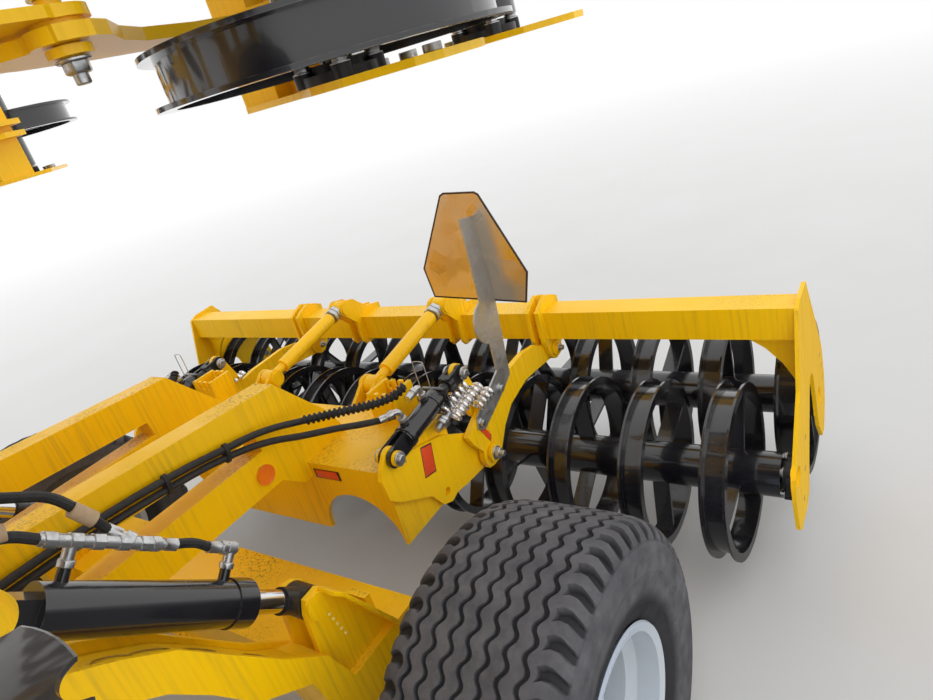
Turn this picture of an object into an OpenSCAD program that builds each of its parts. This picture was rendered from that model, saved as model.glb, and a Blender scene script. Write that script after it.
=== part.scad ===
// Folding trailed disc harrow, wings folded up for the road, standing on its wheels and jack.
// X runs across the machine, Y towards its rear, Z up. Millimetres.
// Places are written from the wheel axle: Y = 0 under the wheels. The whole model is then
// shifted along Y, so that its origin lies on the ground under the middle of its length.
// Point pairs are [Y, Z] seen from the side, or [X, Z] seen from the rear where named so.
// Wings are drawn as they lie at work and are then folded up about their hinges.

/* [Wheels] */
// Outer radius of the tyre
tyre_r = 437; // [425:1:445]
// Width of the tyre
tyre_w = 404; // [380:1:420]
// Radius of the rim where the tyre seats
rim_r = 197; // [190:1:205]
// Middle of the tyre from the machine's centre line
wheel_x = 1120; // [1110:1:1130]

/* [Roller rings] */
// Outer radius of a ring
ring_r = 275; // [265:1:280]
// Width of a ring's channel
ring_w = 72; // [60:1:76]
// Height of a ring's flanges
flange_h = 28; // [20:1:34]
// Wall of a ring's channel
ring_t = 7; // [5:0.5:9]
// Radius of a roller's tube
tube_r = 68; // [60:1:76]
// Width of a spoke bar
spoke_w = 56; // [40:1:58]
// Thickness of a spoke bar
spoke_t = 12; // [8:1:16]
// Rings on the front row of the rear roller
rear_rings = 12; // [10:2:12]
// Rings on the front row of a wing roller
wing_rings = 6; // [5:1:6]

/* [Roller frame] */
// Half the length of the rear roller's frame
frame_half = 1500; // [1495:1:1515]
// Side of the square roller beams
beam_s = 104; // [95:1:110]
// Thickness of the end plates
end_t = 12; // [8:1:14]
// Distance of the two lower roller arms from the centre line
arm_x = 632; // [626:1:636]
// Thickness of the lower roller arms
arm_t = 20; // [16:1:24]

/* [Discs] */
// Radius of a disc
disc_r = 280; // [260:1:285]
// Depth of a disc's bowl
disc_bowl = 50; // [44:1:56]
// Thickness of a disc
disc_t = 6; // [5:0.5:8]
// Spacing of the discs in a row
disc_pitch = 250; // [246:1:252]
// Angle of a disc to the way of travel
disc_angle = 17; // [14:1:19]
// Height of the disc axles above the ground as parked
disc_z = 370; // [355:1:385]

/* [Frame] */
// Half the spacing of the long rails
rail_x = 265; // [262:1:270]
// Width of the long rails
rail_w = 80; // [70:1:84]
// Height of the upper rails
rail_h = 105; // [95:1:110]
// Side of the cross beams that carry the discs
cross_s = 120; // [114:1:124]
// Thickness of the bracket plates
plate_t = 15; // [12:1:16]

/* [Running gear] */
// Width of an axle arm over its two side plates
axle_w = 136; // [130:1:140]
// Radius of the lift cylinders' barrels
lift_r = 47; // [42:1:50]
// Radius of the depth cylinders' barrels
depth_r = 32; // [28:1:34]
// Radius of the folding cylinders' barrels
fold_r = 50; // [44:1:52]
// Radius of the pins of the heavy pivots
pin_r = 17; // [15:1:18]
// Running clearance of a pin in its eye
pin_gap = 0.1; // [0.05:0.01:0.1]

/* [Drawbar] */
// Distance of the tow eye's centre ahead of the wheel axle
eye_y = 4250; // [4150:10:4350]
// Height of the tow eye's middle above the ground
eye_z = 480; // [460:5:500]
// Radius of the tow eye's hole
eye_hole_r = 25; // [20:0.5:27]

/* [Hidden] */
$fn = 64;

yellow = [1, 0.74, 0];
black = [0.05, 0.05, 0.055];
zinc = [0.62, 0.64, 0.66];
chrome = [0.8, 0.81, 0.83];
rubber = [0.2, 0.21, 0.22];
steel = [0.3, 0.31, 0.33];
white_steel = [0.8, 0.82, 0.84];

// Tow eye and rear ring bound the length, and the origin lies midway between them
eye_r = eye_hole_r + 35;
front_axis = [920, 432];
ring_pitch = 2 * (frame_half - 60) / rear_rings;
rear_axis = [1380, 432];
mid_y = (rear_axis[0] + ring_r - eye_y - eye_r) / 2;

// Centres of the long members
cross_z = 800;
cross_rows = [-1170, -2020];
cross_half = 960;
hub_back = 170;
lower_top = 975;
upper_rear = [190, 1120];
upper_slope = 0.08;

// Wing hinge as [X, Z], and the places of the hinge arms along Y
hinge = [610, 890];
hinge_rows = [-1330, -1860];
hinge_arm_t = 50;
hinge_lug_t = 20;
lug_gap = 2;

// Axle: arm pivot, rod eye, front eye of the lift cylinder
axle_pivot = [-1020, 1150];
axle_x = 660;
lift_front = [-680, 1262];
lift_eye = [-200, 806];
axle_centre = [0, tyre_r];

// Roller linkage
arm_pivot = [632, 622];
arm_rear = [1150, 735];
depth_front = [240, 877];
box_top = depth_front[1] - 27;
depth_rear = [612, 930];
bearing_t = 26;
link_x = 267;
link_front = [590, 886];
link_rear = [1045, 965];
beam_c = [1165, 840];
sign_y = 868;

// Wing roller: the same frame, set forward by wing_shift
wing_shift = -908;
wing_in = 1525;
wing_half = 730;
wing_arms = [1680, 2845];
wing_arm_side = [-1, 1];
wing_first_ring = wing_in + 70;
wing_pitch = (2 * wing_half - 260) / (wing_rings - 1);

// Folding cylinder as [X, Z], for the right wing
fold_anchor = [-265, 1062];
fold_lug = [150, 250];
fold_rows = [-1500, -1690];

// Drawbar
draw_pivot = [-2230, 690];
draw_half = 330;
draw_tip = [-4000, 500];
draw_tip_x = 45;
draw_lug = [-2780, 820];
draw_anchor = [-2050, 1120];
jack_y = -3500;
jack_x = -240;

module placed() {
    translate([0, -mid_y, 0])
        children();
}

module both_sides() {
    children();
    mirror([1, 0, 0])
        children();
}

// Plate with a side outline, from x to x + t
module side_plate(x, t) {
    translate([x, 0, 0])
        rotate([90, 0, 90])
            linear_extrude(t)
                children();
}

// Plate with an [X, Z] outline, from y - t to y
module cross_plate(y, t) {
    translate([0, y, 0])
        rotate([90, 0, 0])
            linear_extrude(t)
                children();
}

module block(low, high) {
    translate(low)
        cube(high - low);
}

module shaft_x(p, x0, x1, r) {
    translate([x0, p[0], p[1]])
        rotate([0, 90, 0])
            cylinder(h = x1 - x0, r = r);
}

module shaft_y(p, y0, y1, r) {
    translate([p[0], y1, p[1]])
        rotate([90, 0, 0])
            cylinder(h = y1 - y0, r = r);
}

// Straight bar outline with a round end at each of its two points
module link2d(p, q, rp, rq) {
    d = norm(q - p);
    a = atan2(q[1] - p[1], q[0] - p[0]);
    b = acos((rp - rq) / d);
    translate(p)
        circle(rp);
    translate(q)
        circle(rq);
    polygon([p + rp * [cos(a + b), sin(a + b)], q + rq * [cos(a + b), sin(a + b)],
        q + rq * [cos(a - b), sin(a - b)], p + rp * [cos(a - b), sin(a - b)]]);
}

// Turns local +X to run from p to q seen from the side, with local Y along the machine's X
module aim_side(x, p, q) {
    translate([x, p[0], p[1]])
        rotate([atan2(q[1] - p[1], q[0] - p[0]), 0, 0])
            rotate([0, 0, 90])
                children();
}

// Turns local +X to run from p to q seen from the rear
module aim_rear(y, p, q) {
    translate([p[0], y, p[1]])
        rotate([0, -atan2(q[1] - p[1], q[0] - p[0]), 0])
            children();
}

// Cylinder barrel along +X with its eye at the origin and its gland at len
module cyl_barrel(len, r, rod, eye_r, eye_w, hole) {
    difference() {
        union() {
            translate([0, eye_w / 2, 0])
                rotate([90, 0, 0])
                    cylinder(h = eye_w, r = eye_r);
            translate([0, -eye_w / 2 + 2, -eye_r * 0.6])
                cube([eye_r + 50, eye_w - 4, eye_r * 1.2]);
            translate([eye_r + 40, 0, 0])
                rotate([0, 90, 0])
                    cylinder(h = len - eye_r - 40, r = r);
            translate([len - 46, 0, 0])
                rotate([0, 90, 0])
                    cylinder(h = 46, r = r + 3);
            for (x = [eye_r + 75, len - 66])
                translate([x, 0, 0])
                    cylinder(h = r + 22, r = 11);
        }
        translate([0, eye_w / 2 + 1, 0])
            rotate([90, 0, 0])
                cylinder(h = eye_w + 2, r = hole);
        translate([eye_r + 68, 0, 0])
            rotate([0, 90, 0])
                cylinder(h = len, r = rod + 0.3);
    }
}

// Piston rod along +X, from x0 to its eye at len; the eye carries its own pin
module cyl_rod(x0, len, r, eye_r, eye_w, pin, pin_w) {
    translate([x0, 0, 0])
        rotate([0, 90, 0])
            cylinder(h = len - x0, r = r);
    translate([len - eye_r - 30, 0, 0])
        rotate([0, 90, 0])
            cylinder(h = eye_r + 10, r = eye_w / 2);
    translate([len, eye_w / 2, 0])
        rotate([90, 0, 0])
            cylinder(h = eye_w, r = eye_r);
    translate([len, pin_w / 2, 0])
        rotate([90, 0, 0])
            cylinder(h = pin_w, r = pin);
}

// Folds a wing up about its hinge; side is 1 for the right wing and -1 for the left
module wing_place(side) {
    mirror([side > 0 ? 0 : 1, 0, 0])
        translate([hinge[0], 0, hinge[1]])
            rotate([0, -90, 0])
                translate([-hinge[0], 0, -hinge[1]])
                    children();
}

// Lug plates of an open rod end: the rod's eye moves between them, the pin heads sit outside
module open_heads(x, w, p, r) {
    for (s = [-1, 1])
        translate([x + s * (w / 2 + lug_gap + plate_t + 4), p[0], p[1]])
            rotate([0, 90, 0])
                cylinder(h = 8, r = r, center = true);
}

// Box beam outline of the long rails seen from the side
module lower_rail() {
    translate([rail_x - rail_w / 2, -2250, lower_top - 115])
        cube([rail_w, 2440, 115]);
}

module upper_rail() {
    side_plate(rail_x - rail_w / 2, rail_w)
        polygon([[190, upper_rear[1] - rail_h], upper_rear,
            [-1180, upper_rear[1] + upper_slope * 1370], [-1440, lower_top - 5],
            [-1300, lower_top - 5], [-1150, upper_rear[1] + upper_slope * 1340 - rail_h]]);
}

// Rear ends of both rails, running down into the cross box with an arch below
module rail_end() {
    side_plate(rail_x - rail_w / 2, rail_w)
        difference() {
            polygon([[60, 1120], [195, 1121], [332, 950], [380, 852], [380, 640], [310, 640],
                [200, 770], [100, 862]]);
            translate([205, 690])
                circle(112);
        }
}

module rear_box() {
    difference() {
        block([-600, 200, 600], [600, 500, box_top]);
        block([-585, 215, 590], [585, 485, box_top - 15]);
        for (s = [-1, 1])
            translate([s * 440, 216, 600])
                rotate([90, 0, 0])
                    cylinder(h = 20, r = 150);
        for (s = [-1, 1])
            translate([s * 592 - 10, depth_front[0] - 41, box_top - 9])
                cube([20, 92, 10]);
    }
}

// Open-topped box with notched walls on the rear cross box
module notched_box(x) {
    difference() {
        block([x - 55, 425, box_top - 5], [x + 55, 520, box_top + 105]);
        block([x - 43, 437, box_top + 20], [x + 43, 508, box_top + 106]);
        for (k = [-1, 0, 1])
            block([x + k * 32 - 8, 420, box_top + 75], [x + k * 32 + 8, 525, box_top + 106]);
    }
}

module hinge_lugs(y) {
    for (s = [-1, 1])
        cross_plate(y + s * (hinge_arm_t / 2 + lug_gap + hinge_lug_t / 2) + hinge_lug_t / 2, hinge_lug_t)
            difference() {
                union() {
                    polygon([[300, 862], [300, lower_top - 2], [430, lower_top - 2],
                        hinge + [22, 40], hinge + [22, -40], [430, 850], [300, 850]]);
                    translate(hinge)
                        circle(45);
                }
                translate([470, 905])
                    circle(26);
            }
    block([300, y - hinge_arm_t / 2 - lug_gap - 5, 866], [535, y + hinge_arm_t / 2 + lug_gap + 5, 960]);
    shaft_y(hinge, y - 60, y + 60, 25);
    for (s = [-1, 1])
        shaft_y(hinge, y + s * 54 - 7, y + s * 54 + 7, 36);
}

// Anchor of a folding cylinder on a long rail, with its pin
module fold_anchor_lugs(y) {
    for (s = [-1, 1])
        cross_plate(y + s * (25 + lug_gap + plate_t / 2) + plate_t / 2, plate_t)
            link2d([fold_anchor[0], lower_top + 5], fold_anchor, 45, 36);
    shaft_y(fold_anchor, y - 54, y + 54, pin_r);
    for (s = [-1, 1])
        shaft_y(fold_anchor, y + s * 48 - 6, y + s * 48 + 6, 28);
}

// Lugs at the end of the cross tube that hold a lift cylinder's front eye and its pin
module lift_lugs() {
    for (x = [axle_x - 30 - lug_gap - plate_t, axle_x + 30 + lug_gap])
        side_plate(x, plate_t)
            union() {
                translate(lift_front)
                    circle(45);
                polygon([lift_front + [-75, -50], lift_front + [-75, 40], lift_front + [0, 45],
                    lift_front + [10, -40], lift_front + [-20, -60]]);
            }
    block([axle_x - 46, lift_front[0] - 76, lift_front[1] - 48],
        [axle_x + 46, lift_front[0] - 58, lift_front[1] + 38]);
    block([axle_x - 120, lift_front[0] - 76, lift_front[1] - 18],
        [axle_x + 46, lift_front[0] - 58, lift_front[1] + 38]);
    block([axle_x - 120, lift_front[0] - 76, lift_front[1] - 18],
        [axle_x - 85, lift_front[0] - 10, lift_front[1] + 14]);
    shaft_x(lift_front, axle_x - 54, axle_x + 56, pin_r + 3);
    shaft_x(lift_front, axle_x + 46, axle_x + 58, 30);
    shaft_x([lift_front[0] - 22, lift_front[1] - 30], 0, axle_x - axle_w / 2 - 12, 46);
}

// Cross tube through both upper rails whose ends are the pins of the axle arms
module axle_tube() {
    shaft_x(axle_pivot, 0, axle_x - axle_w / 2 - 2, 62);
    shaft_x(axle_pivot, 0, axle_x + axle_w / 2 + 14, 32);
    shaft_x(axle_pivot, axle_x + axle_w / 2 + 2, axle_x + axle_w / 2 + 14, 60);
}

module link_lugs() {
    for (s = [-1, 1])
        side_plate(link_x + s * (20 + lug_gap + 6) - 6, 12)
            union() {
                translate(link_front)
                    circle(34);
                polygon([[480, 640], [480, 850], [560, 905], link_front + [5, -34], [520, 720]]);
            }
    shaft_x(link_front, link_x - 46, link_x + 46, pin_r);
    for (s = [-1, 1])
        shaft_x(link_front, link_x + s * 40 - 6, link_x + s * 40 + 6, 27);
}

// Front head with the lugs and pins of the drawbar and of its levelling cylinder
module front_head() {
    block([-draw_half - 60, -2250, 862], [draw_half + 60, -2165, lower_top - 3]);
    both_sides() {
        for (s = [-1, 1])
            side_plate(draw_half + s * (30 + lug_gap + 10) - 10, 20)
                difference() {
                    union() {
                        translate(draw_pivot)
                            circle(50);
                        polygon([draw_pivot + [-50, 0], [-2262, lower_top - 3], [-2165, lower_top - 3],
                            [-2165, 800], draw_pivot + [50, 0]]);
                    }
                    translate([-2212, 805])
                        circle(20);
                }
        shaft_x(draw_pivot, draw_half - 60, draw_half + 60, 25);
        for (s = [-1, 1])
            shaft_x(draw_pivot, draw_half + s * 58 - 6, draw_half + s * 58 + 6, 36);
    }
    block([-226, -2100, 940], [226, -2000, 1010]);
    for (s = [-1, 1])
        side_plate(s * (25 + lug_gap + plate_t / 2) - plate_t / 2, plate_t)
            link2d([draw_anchor[0], 1005], draw_anchor, 50, 38);
    shaft_x(draw_anchor, -54, 54, pin_r);
    for (s = [-1, 1])
        shaft_x(draw_anchor, s * 48 - 6, s * 48 + 6, 28);
}

module main_frame() {
    color(yellow)
        placed() {
            both_sides() {
                lower_rail();
                upper_rail();
                rail_end();
                for (y = hinge_rows)
                    hinge_lugs(y);
                lift_lugs();
                axle_tube();
                link_lugs();
                notched_box(450);
                side_plate(rail_x + rail_w / 2 - 1, 6)
                    translate([57, 913])
                        circle(29);
            }
            for (y = cross_rows)
                block([-cross_half, y - cross_s / 2, cross_z - cross_s / 2],
                    [cross_half, y + cross_s / 2, cross_z + cross_s / 2]);
            block([-226, -760, 880], [226, -660, 960]);
            rear_box();
            fold_anchor_lugs(fold_rows[0]);
            mirror([1, 0, 0])
                fold_anchor_lugs(fold_rows[1]);
            front_head();
        }
}

// Outline of the plate that carries a roller arm's front pivot and its depth cylinder
module bracket_outline() {
    difference() {
        union() {
            polygon([depth_front + [22, 21], depth_front + [-25, 19], depth_front + [-50, -7],
                depth_front + [-64, -36], [181, 776], [213, 745],
                [337, 668], [372, 609], [413, 591], [444, 600], [500, 590], [600, 580],
                [660, 600], [672, 650], [640, 668], [595, 719], [452, 806],
                depth_front + [90, -35], depth_front + [32, -15]]);
            translate(depth_front)
                circle(32);
            translate(arm_pivot)
                circle(44);
        }
        translate([404, 634])
            circle(13);
    }
}

// Bracket plate on the inner side of an arm at x, with both pins; m is 1 or -1
module arm_bracket(x, m) {
    xb = x - m * 24.5;
    side_plate(xb - plate_t / 2, plate_t)
        bracket_outline();
    shaft_x(arm_pivot, min(xb - m * 20, x + m * 26), max(xb - m * 20, x + m * 26), pin_r);
    shaft_x(arm_pivot, x - m * 14.5 - 2.5, x - m * 14.5 + 2.5, 34);
    shaft_x(arm_pivot, x + m * 19 - 6, x + m * 19 + 6, 30);
    shaft_x(depth_front, xb - 32, xb + 32, 14);
    for (s = [-1, 1])
        shaft_x(depth_front, xb + s * 27 - 5, xb + s * 27 + 5, 22);
}

module frame_brackets() {
    color(yellow)
        placed()
            both_sides()
                arm_bracket(arm_x, 1);
}

// Dished, notched disc with its bowl's bottom at the origin, opening towards -X
module disc() {
    rotate([0, 90, 0])
        difference() {
            rotate_extrude()
                polygon([[0, 0], [70, -1], [140, -11], [210, -29], [disc_r - 3, -disc_bowl - disc_t / 2],
                    [disc_r, -disc_bowl], [disc_r - 2, -disc_bowl + 2], [210, -29 + disc_t],
                    [140, -11 + disc_t], [70, disc_t - 1], [0, disc_t]]);
            for (k = [0:9])
                rotate([0, 0, 36 * k])
                    translate([disc_r + 8, 0, -disc_bowl - 20])
                        cylinder(h = 50, r = 32);
        }
}

// Clamp that holds one disc arm on its beam, in four rubber rods, centred on the beam
module disc_clamp() {
    r = 25;
    a = r + (cross_s / 2 + r) / sqrt(2) + 0.1;
    translate([-45, 0, 0])
        rotate([90, 0, 90]) {
            linear_extrude(90)
                difference() {
                    rotate(45)
                        square(2 * a + 24, center = true);
                    rotate(45)
                        square(2 * a, center = true);
                }
            for (k = [0:3])
                rotate(90 * k)
                    translate([cross_s / 2 + r, 0, 0])
                        cylinder(h = 90, r = r - 0.05);
        }
}

// Arm of one disc; its side is s, seen from the disc
module disc_arm(s) {
    drop = disc_z - cross_z;
    side_plate(s * 32 - 12, 24)
        difference() {
            union() {
                polygon([[-62, -88], [-30, -150], [10, -230], [60, -320], [100, -400], [150, drop - 30],
                    [200, drop], [190, drop + 60], [150, -300], [110, -220], [80, -150], [64, -88],
                    [0, -126]]);
                translate([hub_back, drop])
                    circle(52);
            }
            translate([45, -190])
                circle(18);
        }
    translate([s * 20, hub_back, drop])
        rotate([0, 90, -s * disc_angle])
            translate([0, 0, -s * 20 - (s > 0 ? 19.9 : 60)])
                cylinder(h = 79.9, r = 40);
}

module disc_place(s) {
    translate([s * 20, hub_back, disc_z - cross_z])
        rotate([0, 0, -s * disc_angle])
            translate([-s * 46, 0, 0])
                mirror([s > 0 ? 0 : 1, 0, 0])
                    disc();
}

// All discs of a row look the same way, the front row against the rear one
module disc_arm_set(count, first, side) {
    for (k = [0:count - 1])
        for (row = [0, 1])
            translate([first + k * disc_pitch, cross_rows[row], cross_z]) {
                disc_clamp();
                disc_arm(side * (1 - 2 * row));
            }
}

module disc_set(count, first, side) {
    for (k = [0:count - 1])
        for (row = [0, 1])
            translate([first + k * disc_pitch, cross_rows[row], cross_z])
                disc_place(side * (1 - 2 * row));
}

module centre_disc_arms() {
    color(yellow)
        placed()
            disc_arm_set(8, -3.5 * disc_pitch, 1);
}

module centre_discs() {
    color(steel)
        placed()
            disc_set(8, -3.5 * disc_pitch, 1);
}

// Leg of the drawbar from its hinge eye to the head
module drawbar_leg() {
    run = draw_pivot[0] - draw_tip[0];
    side_plate(draw_half - 30, 60)
        difference() {
            union() {
                translate(draw_pivot)
                    circle(48);
                polygon([draw_pivot + [0, 48], draw_pivot + [0, -48], draw_pivot + [-130, -68],
                    draw_pivot + [-130, 44]]);
            }
            translate(draw_pivot)
                circle(25 + pin_gap);
        }
    translate([draw_half, draw_pivot[0] - 74, 0])
        rotate([0, 0, -atan2(draw_half - draw_tip_x, run)])
            side_plate(-45, 90)
                polygon([[0, draw_pivot[1] + 46], [0, draw_pivot[1] - 56],
                    [-run * 0.5, draw_pivot[1] - 175], [-run - 10, draw_tip[1] - 62],
                    [-run - 10, draw_tip[1] + 50], [-run * 0.45, draw_pivot[1] + 8]]);
}

module drawbar() {
    color(yellow)
        placed() {
            both_sides()
                drawbar_leg();
            block([-110, draw_tip[0] - 90, draw_tip[1] - 66], [110, draw_tip[0] + 190, draw_tip[1] + 56]);
            block([-245, draw_lug[0] - 60, 590], [245, draw_lug[0] + 60, 690]);
            for (s = [-1, 1])
                side_plate(s * (25 + lug_gap + plate_t / 2) - plate_t / 2, plate_t)
                    link2d([draw_lug[0], 670], draw_lug, 60, 36);
            open_heads(0, 50, draw_lug, 28);
            difference() {
                block([jack_x - 54, jack_y - 54, 560], [-115, jack_y + 54, 625]);
                translate([jack_x, jack_y, 500])
                    cylinder(h = 200, r = 40.2);
            }
        }
}

module tow_eye() {
    color(steel)
        placed()
            difference() {
                union() {
                    translate([0, -eye_y, eye_z])
                        cylinder(h = 60, r = eye_r, center = true);
                    translate([0, draw_tip[0] - 90, eye_z])
                        rotate([90, 0, 0])
                            cylinder(h = eye_y + draw_tip[0] - 90 - eye_r + 20, r = 32);
                    translate([0, draw_tip[0] - 90, eye_z])
                        rotate([90, 0, 0])
                            cylinder(h = 24, r = 62);
                }
                translate([0, -eye_y, eye_z])
                    cylinder(h = 80, r = eye_hole_r, center = true);
            }
}

draw_len = norm(draw_lug - draw_anchor);

module drawbar_barrel() {
    color(black)
        placed()
            aim_side(0, draw_anchor, draw_lug)
                cyl_barrel(560, 42, 24, 36, 50, pin_r + pin_gap);
}

module drawbar_rod() {
    color(chrome)
        placed()
            aim_side(0, draw_anchor, draw_lug)
                cyl_rod(200, draw_len, 24, 34, 50, pin_r, 52);
}

module jack_tube() {
    color(steel)
        placed()
            translate([jack_x, jack_y, 0]) {
                difference() {
                    translate([0, 0, 330])
                        cylinder(h = 620, r = 40);
                    translate([0, 0, 320])
                        cylinder(h = 600, r = 32 + pin_gap);
                }
                translate([0, 0, 950])
                    cylinder(h = 14, r = 46);
                translate([0, 0, 905])
                    rotate([90, 0, 0])
                        cylinder(h = 170, r = 11);
                translate([0, -163, 880])
                    cylinder(h = 120, r = 13);
            }
}

module jack_leg() {
    color(zinc)
        placed()
            translate([jack_x, jack_y, 0]) {
                translate([0, 0, 8])
                    cylinder(h = 512, r = 32);
                cylinder(h = 12, r = 110);
                cylinder(h = 60, r = 44);
            }
}

// Side outline of an axle arm, from its pivot down to the cross beam
module arm_side_outline() {
    polygon([axle_pivot + [0, 66], [-900, 1206], [-780, 1185], [-670, 1136], [-575, 1070],
        [-490, 999], [-427, 916], [-330, 790], [-240, 700], [-200, 590], [-200, 480], [-262, 480],
        [-300, 680], [-413, 763], [-480, 868], [-540, 945], [-598, 993], [-700, 1046],
        [-830, 1080], axle_pivot + [0, -66]]);
}

module axle_arm() {
    difference() {
        union() {
            side_plate(axle_x - axle_w / 2, axle_w)
                union() {
                    arm_side_outline();
                    translate(axle_pivot)
                        circle(68);
                }
        }
        side_plate(axle_x - axle_w / 2 + plate_t - 2, axle_w - 2 * plate_t + 4)
            polygon([[-800, 1300], [-860, 1150], [-760, 1095], [-660, 1055], [-570, 1000],
                [-490, 925], [-400, 800], [-300, 735], [-225, 690], [-150, 1000]]);
        shaft_x(axle_pivot, axle_x - axle_w, axle_x + axle_w, 32 + pin_gap);
    }
}

// Trapezoid bracket on the cross beam for a lift rod's eye
module lift_bracket() {
    for (s = [-1, 1])
        side_plate(axle_x + s * (30 + lug_gap + plate_t / 2) - plate_t / 2, plate_t)
            polygon([lift_eye + [-34, 0], lift_eye + [-20, 32], lift_eye + [20, 34],
                lift_eye + [44, 10], [-30, 585], [-225, 585], [-245, 660]]);
    open_heads(axle_x, 60, lift_eye, 32);
    block([axle_x - 32, -70, 585], [axle_x + 32, -52, 690]);
}

module axle_arms() {
    color(yellow)
        placed()
            both_sides() {
                axle_arm();
                lift_bracket();
                block([0, -215, 478], [axle_x + axle_w / 2, 45, 590]);
                block([0, -228, 470], [axle_x + axle_w / 2 - 2, 58, 480]);
                shaft_x(axle_centre, axle_x - 60, wheel_x - 110, 48);
                shaft_x(axle_centre, axle_x - 60, wheel_x + 60, 35);
                block([axle_x - 20, -40, tyre_r - 30], [axle_x + axle_w / 2 + 20, 40, 500]);
            }
}

module tyre() {
    h = tyre_w / 2;
    translate([wheel_x, axle_centre[0], axle_centre[1]])
        rotate([0, 90, 0])
            rotate_extrude()
                polygon([[rim_r, -h + 42], [rim_r + 22, -h + 26], [300, -h + 2], [370, -h], [404, -h + 10],
                    [425, -h + 34], [434, -h + 70], [tyre_r, -h + 120], [tyre_r, h - 120],
                    [434, h - 70], [425, h - 34], [404, h - 10], [370, h], [300, h - 2],
                    [rim_r + 22, h - 26], [rim_r, h - 42], [rim_r, h - 66], [rim_r + 26, h - 58],
                    [300, h - 26], [380, h - 30], [405, h - 70], [410, 0], [405, -h + 70],
                    [380, -h + 30], [300, -h + 26], [rim_r + 26, -h + 58], [rim_r, -h + 66]]);
}

module rim() {
    h = tyre_w / 2 - 42;
    translate([wheel_x, axle_centre[0], axle_centre[1]])
        rotate([0, 90, 0])
            difference() {
                union() {
                    rotate_extrude()
                        polygon([[rim_r - 7, -h - 19], [rim_r + 14, -h - 25], [rim_r + 17, -h - 19],
                            [rim_r - 0.1, -h - 1], [rim_r - 0.1, -h + 34], [rim_r - 30, -h + 52],
                            [rim_r - 30, h - 52], [rim_r - 0.1, h - 34], [rim_r - 0.1, h + 1],
                            [rim_r + 17, h + 19], [rim_r + 14, h + 25], [rim_r - 7, h + 19],
                            [rim_r - 8, h - 36], [rim_r - 38, h - 54], [rim_r - 38, -h + 54],
                            [rim_r - 8, -h + 36]]);
                    rotate_extrude()
                        polygon([[60, 40], [112, 40], [140, 20], [rim_r - 32, 14], [rim_r - 32, 4],
                            [136, 8], [108, 28], [60, 28]]);
                    translate([0, 0, -100])
                        cylinder(h = 150, r = 78);
                    translate([0, 0, 50])
                        cylinder(h = 46, r = 52);
                    for (k = [0:5])
                        rotate([0, 0, 60 * k])
                            translate([102, 0, 38])
                                cylinder(h = 24, r = 13);
                }
                translate([0, 0, -101])
                    cylinder(h = 170, r = 35 + pin_gap);
                for (k = [0:5])
                    rotate([0, 0, 60 * k + 30])
                        translate([140, 0, 0])
                            cylinder(h = 50, r = 15);
            }
}

module tyre_right() {
    color(rubber)
        placed()
            tyre();
}

module rim_right() {
    color(white_steel)
        placed()
            rim();
}

module tyre_left() {
    color(rubber)
        placed()
            mirror([1, 0, 0])
                tyre();
}

module rim_left() {
    color(white_steel)
        placed()
            mirror([1, 0, 0])
                rim();
}

lift_len = norm(lift_eye - lift_front);

module lift_barrels() {
    color(black)
        placed()
            both_sides()
                aim_side(axle_x, lift_front, lift_eye)
                    cyl_barrel(500, lift_r, 25, 42, 60, pin_r + 3 + pin_gap);
}

module lift_rods() {
    color(chrome)
        placed()
            both_sides()
                aim_side(axle_x, lift_front, lift_eye)
                    cyl_rod(185, lift_len, 25, 38, 60, pin_r + 3, 62);
}

// Ring of a roller, a channel open outwards on three spokes, centred at the origin on X
module ring(turn) {
    ri = ring_r - flange_h;
    w = ring_w / 2;
    rotate([0, 90, 0])
        rotate([0, 0, turn]) {
            rotate_extrude()
                polygon([[ri, -w], [ring_r, -w], [ring_r, -w + ring_t], [ri + ring_t, -w + ring_t],
                    [ri + ring_t, w - ring_t], [ring_r, w - ring_t], [ring_r, w], [ri, w]]);
            for (k = [0:2])
                rotate([0, 0, 120 * k])
                    translate([tube_r - 5, -spoke_t / 2, -spoke_w / 2])
                        cube([ri - tube_r + 8, spoke_t, spoke_w]);
        }
}

// Roller about its axis: tube from x0 to x1 with stub shafts, rings at first + k * pitch
module roller(axis, x0, x1, first, count, pitch, twist) {
    shaft_x(axis, x0, x1, tube_r);
    shaft_x(axis, x0 - bearing_t - 1, x1 + bearing_t + 1, 25);
    for (k = [0:count - 1])
        translate([first + k * pitch, axis[0], axis[1]])
            ring(twist * k);
}

module end_outline() {
    difference() {
        polygon([[1108, 888], [1150, 906], [1262, 912], [1400, 715], [1500, 560], [1520, 440],
            [1502, 330], [1450, 250], [1405, 250], [1345, 330], [1310, 470], [1285, 565],
            [1262, 592], [1230, 590], [1205, 565], [1120, 380], [1075, 262], [1020, 236],
            [915, 236], [880, 262], [858, 380], [866, 455], [1040, 650]]);
        for (p = [[985, 300], [1030, 380], [1070, 470]])
            translate(p)
                circle(11);
        for (p = [[1440, 560], [1465, 505], [1478, 450]])
            translate(p)
                circle(11);
        for (p = [front_axis, rear_axis])
            translate(p)
                circle(33);
    }
}

// Four-bolt flange bearing on the plate whose face is at x; m points from the plate to the roller
module bearing(axis, x, m) {
    difference() {
        union() {
            shaft_x(axis, min(x, x + m * 14), max(x, x + m * 14), 62);
            shaft_x(axis, min(x, x + m * bearing_t), max(x, x + m * bearing_t), 44);
            for (a = [45, 135, 225, 315])
                shaft_x(axis + 56 * [cos(a), sin(a)], min(x, x + m * 20), max(x, x + m * 20), 16);
        }
        shaft_x(axis, x - 50, x + 50, 25 + pin_gap);
    }
}

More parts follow.
